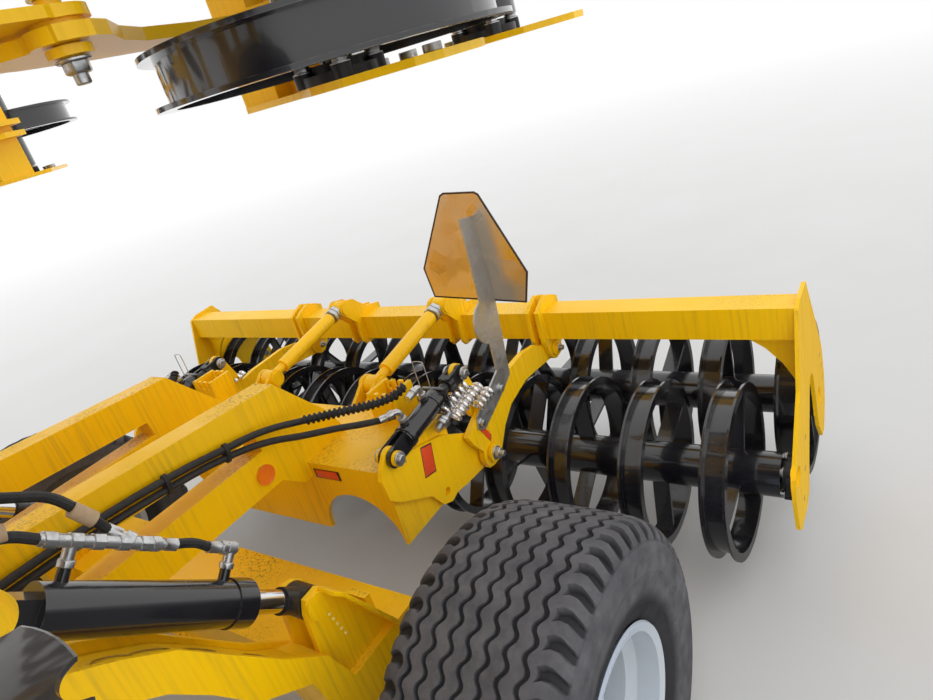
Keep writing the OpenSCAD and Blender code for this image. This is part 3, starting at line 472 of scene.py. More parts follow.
def rain_streaks_group():
    """Mask of the thin marks that run down the sides of a piece."""
    tree, n, given, made = new_group(
        "rain_streaks", [("Place", PLACE, None), ("Up", PLACE, None), ("Amount", NUMBER, 0.5)],
        [("Mask", NUMBER)])
    runs = n.noise(n.stretched(given["Place"], (95.0, 95.0, 4.0)), 1.0, 4.0, 0.6)
    wide = n.noise(n.stretched(given["Place"], (7.0, 7.0, 1.2)), 1.0, 3.0)
    up = n.up(given["Up"])
    side = n.between(n.math("ABSOLUTE", up), 0.75, 0.3)
    mask = n.times(n.between(runs, 0.46, 0.68), n.between(wide, 0.34, 0.58))
    mask = n.times(n.times(mask, side), given["Amount"], True)
    tree.links.new(mask, made["Mask"])
    return tree


GROUPS = {}


def shared_group(name):
    """The named node group, built the first time it is asked for."""
    makers = {"edge_wear_and_highlight": edge_wear_and_highlight_group, "settled_dust": settled_dust_group,
              "rain_streaks": rain_streaks_group}
    if name not in GROUPS:
        GROUPS[name] = makers[name]()
    return GROUPS[name]


def new_finish(name, metallic=0.0, coat=0.0, coat_roughness=0.1, specular=0.5):
    """An empty finish: its nodes, its shader, its place and its own up direction."""
    material = bpy.data.materials.new(name)
    material.use_nodes = True
    tree = material.node_tree
    tree.nodes.clear()
    nodes = Nodes(tree)
    shader = nodes.add("ShaderNodeBsdfPrincipled", {
        "Metallic": metallic, "Coat Weight": coat, "Coat Roughness": coat_roughness,
        "Specular IOR Level": specular})
    nodes.add("ShaderNodeOutputMaterial", {"Surface": shader.outputs[0]})
    source = nodes.add("ShaderNodeTexCoord")
    return material, nodes, shader, source.outputs["Object"], source.outputs["Normal"]


def link(nodes, value, target):
    nodes.tree.links.new(value, target)


def surfaced(nodes, shader, colour, rough, height, strength, distance):
    """Gives a finish's shader its colour, its roughness and its bumps."""
    link(nodes, colour, shader.inputs["Base Color"])
    link(nodes, rough, shader.inputs["Roughness"])
    values = {"Height": height, "Strength": strength, "Distance": distance}
    link(nodes, nodes.add("ShaderNodeBump", values).outputs[0], shader.inputs["Normal"])


def tint(colour, by):
    return tuple(min(1.0, c * by) for c in colour[:3]) + (1.0,)


MOSS = (0.06, 0.07, 0.012, 1.0)


def paint_finish(name, colour, dust, streaks, wear, zone=None, moss_colour=MOSS):
    """Sprayed machine paint with rain streaks, settled dust, moss specks, and paler edges that are
    partly rubbed wear and partly painted edge highlight.
    """
    material, n, shader, place, up = new_finish(name, coat=0.10, coat_roughness=0.22, specular=0.3)
    base = tuple(colour[:3]) + (1.0,)
    deep = (base[0] * 0.97, base[1] * 0.88, base[2] * 0.6, 1.0)
    shade = n.between(n.noise(place, 2.2, 4.0), 0.35, 0.7, 0.0, 0.5)
    colour_now = n.mix(shade, base, deep)
    runs = n.shared("rain_streaks", Place=place, Up=up, Amount=streaks)
    dirt = (base[0] * 0.42 + 0.02, base[1] * 0.42 + 0.02, base[2] * 0.4 + 0.012, 1.0)
    colour_now = n.mix(n.times(runs[0], 0.62), colour_now, dirt)
    lying = n.shared("settled_dust", Place=place, Up=up, Cover=dust)
    film = (base[0] * 0.72, base[1] * 0.78, base[2] + 0.035, 1.0)
    colour_now = n.mix(n.times(lying["Dust"], 0.22), colour_now, film)
    colour_now = n.mix(n.times(lying["Moss"], 0.9), colour_now, moss_colour)
    # Paler yellow on the edges: partly rubbed wear, partly painted edge highlight.
    worn = n.shared("edge_wear_and_highlight", Place=place, Width=0.003, Amount=wear)
    pale = (min(1.0, base[0] * 1.06 + 0.03), base[1] * 1.25 + 0.02, base[2] + 0.03, 1.0)
    colour_now = n.mix(worn[0], colour_now, pale)
    if zone:
        cast = n.mix(shade, (0.012, 0.012, 0.014, 1.0), (0.03, 0.03, 0.031, 1.0))
        colour_now = n.mix(bearing_zone(n, place, *zone), colour_now, cast)
    rough = n.plus(n.times(runs[0], 0.3), 0.3)
    rough = n.plus(rough, n.times(lying["Dust"], 0.4), True)
    peel = n.plus(n.noise(place, 260.0, 2.0), n.times(lying["Moss"], 2.0))
    surfaced(n, shader, colour_now, rough, peel, 0.12, 0.0006)
    return material


BEARING_REACH = 0.0280


def bearing_zone(n, place, along, middle, half, low, limit):
    """Mask of the black flange bearings between a roller frame's end plates.

    They lie within BEARING_REACH of the plates' inner faces, which stand half metres from
    middle on one axis, and below or beyond the limit on the other.
    """
    parts = n.add("ShaderNodeSeparateXYZ", {0: place})
    off = n.math("ABSOLUTE", n.math("SUBTRACT", parts.outputs[along], middle))
    inside = n.between(off, half - 0.0002, half, 1.0, 0.0)
    outer = n.between(off, half - BEARING_REACH, half - BEARING_REACH + 0.0002)
    side = n.math("ABSOLUTE", parts.outputs[low])
    ends = (1.0, 0.0) if low == 2 else (0.0, 1.0)
    reach = n.between(side, limit - 0.001, limit + 0.001, *ends)
    return n.times(n.times(inside, outer), reach)


def gloss_black(name, colour, dust, rough, pits=0.0):
    """Black gloss paint with faint dust on top, brushed marks, and grey edges that are partly
    rubbed wear and partly painted edge highlight.
    """
    material, n, shader, place, up = new_finish(name, coat=0.9, coat_roughness=0.07)
    base = tuple(colour) + (1.0,)
    cloud = n.between(n.noise(place, 7.0, 5.0), 0.35, 0.75)
    colour_now = n.mix(n.times(cloud, 0.4), base, tint(base, 1.9))
    lying = n.shared("settled_dust", Place=place, Up=up, Cover=dust)
    colour_now = n.mix(n.times(lying["Dust"], 0.3), colour_now, (0.105, 0.105, 0.11, 1.0))
    # Grey on the edges: partly rubbed wear, partly painted edge highlight.
    worn = n.shared("edge_wear_and_highlight", Place=place, Width=0.0025, Amount=0.5)
    colour_now = n.mix(worn[0], colour_now, (0.16, 0.155, 0.15, 1.0))
    value = n.plus(n.times(cloud, 0.16), rough)
    value = n.plus(value, n.times(lying["Dust"], 0.35), True)
    skin = n.plus(n.noise(place, 55.0, 3.0), n.times(n.noise(place, 300.0), 0.3))
    surfaced(n, shader, colour_now, value, skin, 0.10 + pits, 0.0012)
    return material


def metal_finish(name, colour, rough, mottling, scale, brushed=None, dull=0.2):
    """Bare or plated metal: mottled tone, uneven roughness, dirt in patches."""
    material, n, shader, place, up = new_finish(name, metallic=1.0)
    base = tuple(colour) + (1.0,)
    cells = n.add("ShaderNodeTexVoronoi", {"Vector": place, "Scale": scale}).outputs["Color"]
    tone = n.add("ShaderNodeSeparateXYZ", {0: cells}).outputs[0]
    colour_now = n.mix(n.times(tone, mottling), base, tint(base, 0.62))
    stain = n.between(n.noise(place, 9.0, 5.0), 0.5, 0.72)
    colour_now = n.mix(n.times(stain, dull), colour_now, tint(base, 0.45))
    value = n.plus(n.times(tone, 0.16), rough)
    value = n.plus(value, n.times(stain, dull), True)
    grain = n.noise(n.stretched(place, brushed), 1.0) if brushed else n.noise(place, 180.0)
    surfaced(n, shader, colour_now, value, grain, 0.12, 0.0005)
    return material


def rod_finish(name, matrix, eye, way, reach):
    """Chrome rod; its neck and eye, from reach metres before the eye's centre on, painted black."""
    material, n, shader, place, up = new_finish(name, coat_roughness=0.15)
    eye = matrix @ Vector(eye)
    way = (matrix.to_3x3() @ Vector(way)).normalized()
    run = n.add("ShaderNodeVectorMath", {0: place, 1: tuple(way)}, operation="DOT_PRODUCT")
    level = way.dot(eye) - reach
    painted_part = n.between(run.outputs["Value"], level - 0.0004, level + 0.0004)
    cloud = n.between(n.noise(place, 11.0, 5.0), 0.4, 0.75)
    bright = n.mix(n.times(cloud, 0.2), (0.8, 0.8, 0.81, 1.0), (0.5, 0.5, 0.5, 1.0))
    black = n.mix(n.times(cloud, 0.5), (0.012, 0.012, 0.014, 1.0), (0.035, 0.034, 0.032, 1.0))
    # Grey on the black neck's edges: partly rubbed wear, partly painted edge highlight.
    worn = n.shared("edge_wear_and_highlight", Place=place, Width=0.0025, Amount=0.5)
    black = n.mix(worn[0], black, (0.17, 0.165, 0.16, 1.0))
    link(n, n.math("SUBTRACT", 1.0, painted_part), shader.inputs["Metallic"])
    rough = n.plus(n.times(painted_part, 0.18), 0.07)
    rough = n.plus(rough, n.times(cloud, 0.12), True)
    surfaced(n, shader, n.mix(painted_part, bright, black), rough, n.noise(place, 140.0), 0.06,
             0.0004)
    return material


def rubber_finish(name, colour, dust_colour, rough, scale, groove_shade=False):
    """Weathered rubber with dust in its grain, and painted shade down in the grooves of a tread."""
    material, n, shader, place, up = new_finish(name, specular=0.35)
    base = tuple(colour) + (1.0,)
    cloud = n.between(n.noise(place, scale, 6.0, 0.65), 0.36, 0.7)
    broad = n.between(n.noise(place, 3.5, 3.0), 0.3, 0.7)
    share = n.times(cloud, n.plus(n.times(broad, 0.5), 0.35))
    colour_now = n.mix(share, base, tuple(dust_colour) + (1.0,))
    lying = n.shared("settled_dust", Place=place, Up=up, Cover=0.3)
    colour_now = n.mix(n.times(lying["Dust"], 0.35), colour_now, tint(dust_colour, 1.3))
    if groove_shade:
        # Painted shade: near black down in the tread's grooves, by the depth kept in the groove
        # attribute.
        low = n.add("ShaderNodeAttribute", attribute_name="groove").outputs["Fac"]
        colour_now = n.mix(n.times(low, 0.78), colour_now, (0.011, 0.011, 0.013, 1.0))
    value = n.plus(n.times(cloud, 0.15), rough, True)
    surfaced(n, shader, colour_now, value, n.noise(place, 320.0, 4.0), 0.25, 0.0006)
    return material


def sheet_finish(name, colour, rough=0.35, scuff=0.25, cells=0.0):
    """Film or moulded plastic in one colour, lightly scuffed, with a lens's cells if given."""
    material, n, shader, place, up = new_finish(name, coat=0.3)
    base = tuple(colour) + (1.0,)
    marks = n.between(n.noise(place, 70.0, 5.0, 0.7), 0.5, 0.75)
    colour_now = n.mix(n.times(marks, scuff), base, tint(base, 0.55))
    height = n.noise(place, 220.0, 2.0)
    if cells:
        grid = n.add("ShaderNodeTexVoronoi", {"Vector": place, "Scale": cells}).outputs["Distance"]
        colour_now = n.mix(n.between(grid, 0.1, 0.6, 0.0, 0.4), colour_now, tint(base, 1.5))
        height = grid
    value = n.plus(n.times(marks, 0.25), rough, True)
    surfaced(n, shader, colour_now, value, height, 0.2, 0.0006)
    return material


FINISH = {}


def finish_table(paint):
    """What each finish is made by, and the values it takes."""
    yellow, dust, streaks = tuple(paint.yellow), paint.dust, paint.streaks
    worn_yellow = (yellow, dust * 0.35, streaks * 0.5, 0.6)
    frame_zone = (0, 0.0, FRAME_HALF - END_T, 2, 0.520)
    wing_zone = (2, 0.280 + (WING_IN + WING_OUT) / 2, (WING_OUT - WING_IN) / 2 - END_T, 0, 0.980)
    table = {
        "yellow_paint": (paint_finish, yellow, dust, streaks, 0.5),
        "yellow_mossy": (paint_finish, yellow, min(1.0, dust * 2.0), streaks, 0.5),
        "yellow_clean": (paint_finish, *worn_yellow),
        "frame_yellow": (paint_finish, yellow, dust, streaks, 0.5, frame_zone),
        "wing_yellow": (paint_finish, *worn_yellow, wing_zone),
        "rim_paint": (paint_finish, (0.50, 0.56, 0.67), 0.15, 0.2, 0.3, None,
                      (0.12, 0.11, 0.09, 1.0)),
        "dark_weld": (paint_finish, (0.42, 0.24, 0.01), dust, 0.0, 0.2),
        "bright_dot": (paint_finish, (1.0, 0.86, 0.30), 0.1, 0.0, 0.2),
        "black_paint": (gloss_black, (0.009, 0.009, 0.012), 0.22, 0.14),
        "black_cast": (gloss_black, (0.014, 0.014, 0.016), 0.5, 0.3, 0.12),
        "disc_steel": (gloss_black, (0.02, 0.019, 0.019), 0.55, 0.34, 0.08),
        "hub_black": (gloss_black, (0.02, 0.02, 0.021), 0.3, 0.32, 0.05),
        "zinc": (metal_finish, (0.66, 0.67, 0.68), 0.26, 0.35, 160.0),
        "bright_zinc": (metal_finish, (0.86, 0.86, 0.87), 0.14, 0.12, 120.0),
        "galvanised": (metal_finish, (0.62, 0.63, 0.64), 0.42, 0.16, 60.0, None, 0.1),
        "sign_back": (metal_finish, (0.94, 0.79, 0.60), 0.24, 0.0, 20.0, (3.0, 3.0, 260.0), 0.0),
        "tyre_rubber": (rubber_finish, (0.066, 0.065, 0.073), (0.150, 0.147, 0.156), 0.72, 24.0,
                        True),
        "hose_rubber": (rubber_finish, (0.014, 0.014, 0.015), (0.045, 0.044, 0.042), 0.42, 60.0),
        "sleeve": (rubber_finish, (0.42, 0.29, 0.17), (0.5, 0.38, 0.25), 0.6, 90.0),
        "reflector": (sheet_finish, (0.88, 0.17, 0.012), 0.16, 0.1, 260.0),
        "red_film": (sheet_finish, (0.82, 0.075, 0.016)),
        "dark_film": (sheet_finish, (0.03, 0.012, 0.011)),
        "lift_rod": (rod_finish, MACHINE, across_side(AXLE_X, LIFT_EYE), LIFT_WAY, 0.075),
        "depth_rod": (rod_finish, MACHINE, across_side(DEPTH_X, DEPTH_REAR), DEPTH_WAY, 0.112),
        "drawbar_rod": (rod_finish, MACHINE, DRAW_EYE, DRAW_WAY, 0.070),
    }
    wing_eye = (0.0, DEPTH_REAR[0] + WING_SHIFT, DEPTH_REAR[1])
    for (label, side), row in zip(SIDES, FOLD_ROWS):
        fold_eye = (FOLD_EYE[0], row, FOLD_EYE[1])
        table[f"fold_rod_{label}"] = (rod_finish, place_of(side), fold_eye, FOLD_WAY, 0.066)
        table[f"wing_rod_{label}"] = (rod_finish, place_of(side, True), wing_eye, DEPTH_WAY, 0.112)
    return table


def finish(name):
    """The named finish, built the first time it is asked for."""
    if name not in FINISH:
        maker, *values = finish_table(bpy.context.scene.harrow_paint)[name]
        FINISH[name] = maker(name, *values)
    return FINISH[name]


# Sizes and colours that a user would change


def factor_setting(name, description, default):
    return FloatProperty(name=name, description=description, subtype="FACTOR", default=default,
                         min=0.0, max=1.0)


def length_setting(name, description, default, low, high):
    return FloatProperty(name=name, description=description, subtype="DISTANCE", unit="LENGTH",
                         default=default, min=low, max=high)


class HarrowPaint(PropertyGroup):
    yellow: FloatVectorProperty(
        name="Yellow", description="Colour of the yellow paint", subtype="COLOR",
        default=(1.0, 0.595, 0.002), min=0.0, max=1.0)
    dust: factor_setting("Dust", "How much dust and moss lies on top faces", 0.45)
    streaks: factor_setting("Streaks", "How strong the rain streaks on side faces are", 0.6)


class HarrowTyres(PropertyGroup):
    waves: IntProperty(
        name="Waves", description="Zigzag waves round a tyre", default=50, min=30, max=80)
    groove_width: length_setting("Groove width", "Width of a tread groove", 0.0125, 0.004, 0.016)
    groove_depth: length_setting("Groove depth", "Depth of a tread groove", 0.010, 0.002, 0.016)
    sway: length_setting("Sway", "How far a groove swings to each side", 0.007, 0.0, 0.012)


class HarrowHoses(PropertyGroup):
    hose_radius: length_setting("Hose radius", "Outer radius of a hydraulic hose", 0.0095, 0.005,
                                0.016)
    wrap_pitch: length_setting("Wrap pitch", "Rise of one turn of the spiral guard", 0.014, 0.010,
                               0.04)


class HarrowStage(PropertyGroup):
    floor_tone: factor_setting("Floor tone", "Brightness of the floor", 0.62)
    sky_light: FloatProperty(
        name="Sky light", description="Strength of the even light near the horizon",
        default=1.65, min=0.0, max=4.0)
    key_light: FloatProperty(
        name="Key light", description="Strength of the soft light from above",
        default=0.45, min=0.0, max=5.0)
    lens: FloatProperty(
        name="Lens", description="Focal length of the camera", subtype="DISTANCE_CAMERA",
        default=26.0, min=10.0, max=100.0)


class HARROW_OT_stage(Operator):
    """Makes the camera at the photograph's place, the floor and the light"""

    bl_idname = "harrow.stage"
    bl_label = "Camera, floor and light"

    CAMERA = (1.825, -0.840, 1.810)
    RIGHT = (0.82136, 0.50743, -0.26055)
    UP = (-0.01331, 0.47369, 0.88059)
    BACK = (0.57026, -0.71981, 0.39583)

    def camera(self, context, stage):
        camera = added(bpy.ops.object.camera_add, "camera")
        camera.data.lens = stage.lens
        camera.data.clip_start = 0.02
        turn = Matrix((self.RIGHT, self.UP, self.BACK)).transposed().to_4x4()
        camera.matrix_world = MACHINE @ Matrix.Translation(self.CAMERA) @ turn
        context.scene.camera = camera

    def floor(self, context, stage):
        """A floor that is grey near the machine and fades into the even sky."""
        floor = added(bpy.ops.mesh.primitive_circle_add, "floor", vertices=96, radius=60.0,
                      fill_type="NGON")
        material, n, shader, place, up = new_finish("floor", specular=0.2)
        tone = stage.floor_tone
        cloud = n.between(n.noise(place, 1.3, 4.0), 0.3, 0.7)
        worn = (tone * 0.96, tone * 0.96, tone * 0.95, 1.0)
        colour = n.mix(cloud, (tone, tone, tone, 1.0), worn)
        link(n, colour, shader.inputs["Base Color"])
        shader.inputs["Roughness"].default_value = 0.8
        glow = n.add("ShaderNodeEmission", {"Color": (1.0, 1.0, 1.0, 1.0), "Strength": 1.0})
        flat = n.add("ShaderNodeVectorMath", {0: place}, operation="LENGTH").outputs["Value"]
        far = n.between(flat, 5.0, 16.0)
        blend = n.add("ShaderNodeMixShader", {0: far, 1: shader.outputs[0], 2: glow.outputs[0]})
        # Painted reflection: near the machine, glossy rays see the floor as a flat dim grey glow in
        # place of its lit surface.
        painted_reflection_glow = n.add("ShaderNodeEmission", {"Color": (0.16, 0.155, 0.15, 1.0), "Strength": 1.0})
        mirrored = n.add("ShaderNodeLightPath").outputs["Is Glossy Ray"]
        near = n.times(mirrored, n.math("SUBTRACT", 1.0, far))
        shown = n.add("ShaderNodeMixShader", {0: near, 1: blend.outputs[0], 2: painted_reflection_glow.outputs[0]})
        end = next(x for x in n.tree.nodes if x.bl_idname == "ShaderNodeOutputMaterial")
        link(n, shown.outputs[0], end.inputs["Surface"])
        painted(floor, material)

    def light(self, context, stage):
        """A soft sun, and a sky that looks white but lights more from low than from above."""
        sun = added(bpy.ops.object.light_add, "key_light", type="SUN", location=(3.0, -3.0, 8.0))
        sun.data.energy = stage.key_light
        sun.data.angle = math.radians(40)
        sun.rotation_euler = (math.radians(24), math.radians(16), math.radians(20))

        world = bpy.data.worlds.new("even_sky")
        context.scene.world = world
        world.use_nodes = True
        world.node_tree.nodes.clear()
        n = Nodes(world.node_tree)
        path = n.add("ShaderNodeLightPath").outputs
        seen = n.math("MAXIMUM", path["Is Camera Ray"], path["Is Glossy Ray"])
        seen = n.math("MAXIMUM", seen, path["Is Transmission Ray"])
        height = n.up(n.add("ShaderNodeTexCoord").outputs["Generated"])
        level = n.between(height, 0.05, 0.9, stage.sky_light, stage.sky_light * 0.55)
        strength = n.between(seen, 0.0, 1.0, level, 1.0)
        sky = n.add("ShaderNodeBackground", {"Color": (1.0, 1.0, 1.0, 1.0), "Strength": strength})
        n.add("ShaderNodeOutputWorld", {"Surface": sky.outputs[0]})
        context.scene.view_settings.view_transform = "Standard"

    def execute(self, context):
        for part in (self.camera, self.floor, self.light):
            part(context, context.scene.harrow_stage)
        return {"FINISHED"}


CAD_FINISHES = {
    "main_frame": "yellow_mossy", "frame_brackets": "yellow_clean",
    "centre_disc_arms": "yellow_paint", "centre_discs": "disc_steel",
    "drawbar": "yellow_mossy", "tow_eye": "black_cast", "drawbar_barrel": "black_paint",
    "drawbar_rod": "drawbar_rod", "jack_tube": "galvanised", "jack_leg": "galvanised",
    "axle_arms": "yellow_mossy", "tyre": "tyre_rubber", "rim": "rim_paint",
    "lift_barrels": "black_paint", "lift_rods": "lift_rod", "wing_frame": "yellow_clean",
    "wing_disc_arms": "yellow_clean", "wing_discs": "disc_steel", "fold_barrel": "black_paint",
    "fold_rod_right": "fold_rod_right", "fold_rod_left": "fold_rod_left",
    "wing_roller_frame": "wing_yellow", "wing_roller_front": "black_paint",
    "wing_roller_rear": "black_paint", "wing_depth_barrels": "black_paint",
    "wing_depth_rods_right": "wing_rod_right", "wing_depth_rods_left": "wing_rod_left",
    "roller_arms": "yellow_paint", "sign_bracket": "galvanised",
    "sign_plate": "sign_back", "top_links": "yellow_paint", "depth_barrels": "black_paint",
    "depth_rods": "depth_rod", "roller_frame": "frame_yellow", "roller_front": "black_paint",
    "roller_rear": "black_paint",
}


class HARROW_OT_finishes(Operator):
    """Gives every carried-over solid its finish"""

    bl_idname = "harrow.finishes"
    bl_label = "Finishes of the solids"

    def execute(self, context):
        for name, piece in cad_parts.items():
            plain = name.removesuffix("_right").removesuffix("_left")
            chosen = CAD_FINISHES.get(name, CAD_FINISHES.get(plain))
            if chosen is None:
                raise RuntimeError(f"no finish for {name}")
            material = finish(chosen)
            if not piece.material_slots:
                piece.data.materials.append(material)
            for slot in piece.material_slots:
                slot.material = material
        return {"FINISHED"}


def crown(across):
    """Radius of the tyre at a distance from its middle, as the part's source has it."""
    spots = (0.0, 0.082, 0.132, 0.168, 0.192, 0.202)
    radii = (0.437, 0.437, 0.434, 0.425, 0.404, 0.370)
    return float(np.interp(across, spots, radii))


class HARROW_OT_tyres(Operator):
    """Cuts the zigzag tread and the shoulder lugs of both tyres"""

    bl_idname = "harrow.tyres"
    bl_label = "Tyres"

    RIBS = 7
    RIB_PITCH = 0.0405
    LIP = 0.0016
    PER_WAVE = 8
    LUG_LEAN = 0.035
    LUG_PHASES = (0.0, 0.125, 0.875)
    SHOULDER = ((0.134, 0.4325, 0.9, 0.0), (0.1395, 0.4318, 0.8, 0.0),
                (0.1412, 0.4312, 0.8, 0.017), (0.154, 0.4285, 0.6, 0.019),
                (0.168, 0.4243, 0.4, 0.019), (0.181, 0.4140, 0.2, 0.017),
                (0.190, 0.4040, 0.1, 0.013), (0.1955, 0.3930, 0.0, 0.004))
    WALL = ((0.1945, 0.3880), (0.2005, 0.3800), (0.2015, 0.3560), (0.2005, 0.3300),
            (0.2012, 0.3270), (0.2008, 0.3230), (0.1985, 0.3200), (0.1962, 0.2900),
            (0.1900, 0.2600), (0.1915, 0.2570), (0.1890, 0.2520), (0.1800, 0.2320),
            (0.1760, 0.2190), (0.1640, 0.2010), (0.1600, 0.1975), (0.1360, 0.1990),
            (0.1200, 0.2300))

    def columns(self, tyres):
        """The tyre's outline across: place, radius, share of the sway, depth of the lugs."""
        half = tyres.groove_width / 2
        rows = []
        for k in range(self.RIBS):
            middle = (k - self.RIBS // 2) * self.RIB_PITCH
            for across, down in ((middle - half, 0), (middle - half + self.LIP, 1),
                                 (middle + half - self.LIP, 1), (middle + half, 0)):
                radius = crown(abs(across)) - 0.0006 - down * tyres.groove_depth
                rows.append((across, radius, 1.0, 0.0))
            if k < self.RIBS - 1:
                ridge = middle + self.RIB_PITCH / 2
                rows.append((ridge, crown(abs(ridge)) - 0.0004, 1.0, 0.0))
        shoulder = self.SHOULDER + tuple((a, r, 0.0, 0.0) for a, r in self.WALL)
        left = [(-a, r, s, d) for a, r, s, d in reversed(shoulder)]
        return left + rows + list(shoulder)

    def execute(self, context):
        tyres = context.scene.harrow_tyres
        outline = self.columns(tyres)
        steps = tyres.waves * self.PER_WAVE
        for label, side in SIDES:
            piece = added(bpy.ops.mesh.primitive_grid_add, "tyre", size=1.0,
                          x_subdivisions=len(outline), y_subdivisions=steps)
            count = len(outline) + 1
            if len(piece.data.vertices) != count * (steps + 1):
                raise RuntimeError("the tyre's grid has another number of points")
            where = np.empty((steps + 1, count, 3), np.float32)
            depth = np.zeros((steps + 1, count), np.float32)
            for step in range(steps + 1):
                phase = (step % self.PER_WAVE) / self.PER_WAVE
                sway = math.cos(2 * math.pi * phase)
                sway = math.copysign(abs(sway) ** 0.75, sway) * tyres.sway
                lug = 1.0 if phase in self.LUG_PHASES else 0.0
                for column in range(count):
                    across, radius, share, dip = outline[column % len(outline)]
                    radius = radius - dip * lug
                    # How far each point sits below the crown, kept as the groove attribute that the
                    # rubber finish turns into painted shade in the grooves.
                    if abs(across) < 0.192:
                        sunk = crown(abs(across)) - radius
                        depth[step, column] = min(1.0, (sunk - 0.002) / 0.006)
                    bend = max(0.0, 1.0 - abs(abs(across) - 0.160) / 0.030)
                    turn = 2 * math.pi * step / steps + self.LUG_LEAN * bend
                    across = across + sway * share
                    where[step, column] = (side * (WHEEL_X + across),
                                           AXLE_SHIFT + radius * math.sin(turn),
                                           TYRE_R + radius * math.cos(turn))
            piece.data.vertices.foreach_set("co", where.reshape(-1))
            low = piece.data.attributes.new("groove", "FLOAT", "POINT")
            low.data.foreach_set("value", np.maximum(depth, 0.0).reshape(-1))
            piece.data.update()
            only(piece)
            bpy.ops.object.mode_set(mode="EDIT")
            bpy.ops.mesh.select_all(action="SELECT")
            bpy.ops.mesh.remove_doubles(threshold=0.00002)
            bpy.ops.mesh.normals_make_consistent(inside=False)
            leave_edit()
            finished(piece, f"tyre_tread_{label}", f"wheel_{label}", "tyre_rubber", 40)
            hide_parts(f"tyre_{label}")
        return {"FINISHED"}


def union_fitting(radius, length):
    """Hose fitting along +Z: a hexagon, a neck and a crimped ferrule, its seat at the origin."""
    nut = rounded(cylinder(radius * 1.35, length * 0.34, 0.0, 6), radius * 0.08, 1)
    neck = cylinder(radius * 0.9, length * 0.14, length * 0.34, 18)
    inset(neck, lambda c, n: n.z > 0.9, radius * 0.08, -0.0005)
    ferrule = cylinder(radius * 1.18, length * 0.52, length * 0.48, 20)
    inset(ferrule, lambda c, n: abs(n.z) < 0.1, radius * 0.05, -radius * 0.06)
    rounded(ferrule, radius * 0.06, 1)
    return joined([nut, neck, ferrule], "fitting")


def elbow(radius, up, out):
    """A bent adapter from the origin up along +Z and out along +X, with a hexagon at its foot."""
    foot = rounded(cylinder(radius * 1.4, radius * 1.1, 0.0, 6), radius * 0.08, 1)
    bend = tube([(0, 0, radius), (0, 0, up - radius * 0.9), (radius * 0.35, 0, up - radius * 0.2),
                 (radius * 1.3, 0, up), (out, 0, up)], radius * 0.85, 12)
    return joined([foot, bend], "elbow")


def plumb_ports(home, kind, tail, body, bend, end, reach, ports):
    """Sets an elbow and a hose end on each port of a cylinder, given as (place, out, up)."""
    port, fitting = elbow(*bend), union_fitting(*end)
    elbows = [home @ facing(place, out, up) for place, out, up in ports]
    ends = [home @ standing(place + up * bend[1] + out * reach, out) for place, out, up in ports]
    spread(port, elbows, f"{kind}_elbows{tail}", body, "zinc")
    spread(fitting, ends, f"{kind}_hose_ends{tail}", body, "zinc")
    discard(port, fitting)


def spiral_guard(points, radius, pitch):
    """A flat strip wound round a hose along its points."""
    line = [Vector(p) for p in points]
    lengths = [0.0]
    for a, b in zip(line, line[1:]):
        lengths.append(lengths[-1] + (b - a).length)
    turns = lengths[-1] / pitch
    count = int(turns * 10)
    wound = []
    for step in range(count + 1):
        run = lengths[-1] * step / count
        k = max(i for i in range(len(line) - 1) if lengths[i] <= run + 1e-9)
        share = (run - lengths[k]) / max(1e-9, lengths[k + 1] - lengths[k])
        centre = line[k].lerp(line[k + 1], share)
        way = (line[k + 1] - line[k]).normalized()
        side = way.cross(Vector((0, 0, 1))).normalized()
        top = side.cross(way)
        turn = 2 * math.pi * turns * step / count
        wound.append(centre + (side * math.cos(turn) + top * math.sin(turn)) * radius)
    return tube(wound, radius * 0.34, 6)


def clip_pack(count, pitch, width):
    """A row of pressed stop clips along +Z: each one a ribbed sheet with two rounded fingers."""
    clips = []
    half = width * 0.23
    for k in range(count):
        low = k * pitch
        for middle in (-width * 0.27, width * 0.27):
            arc = [(middle + half * math.cos(a), half * 0.9 * math.sin(a), low)
                   for a in (math.radians(x) for x in range(-10, 191, 20))]
            clips.append(tube(arc, pitch * 0.27, 8))
        clips.append(rounded(box((-width * 0.52, -pitch * 0.16, low - pitch * 0.36),
                                 (width * 0.52, pitch * 0.02, low + pitch * 0.36)), 0.0008, 1))
    return joined(clips, "clips")


def threaded_end(radius, length, pitch=0.004):
    """A threaded spindle along +Z with two nuts."""
    core = cylinder(radius * 0.86, length, 0.0, 16)
    inset(core, lambda c, n: abs(n.z) > 0.9, radius * 0.15, radius * 0.1)
    crest = rounded(cylinder(radius, pitch * 0.45, 0.0, 16), pitch * 0.12, 1)
    parts = [core] + [copied(crest, Matrix.Translation((0, 0, k * pitch)))
                      for k in range(int(length / pitch))]
    discard(crest)
    for low in (length * 0.28, length * 0.28 + radius * 1.05):
        parts.append(rounded(cylinder(radius * 1.75, radius * 0.95, low, 6), radius * 0.08, 1))
    return joined(parts, "threaded_end")


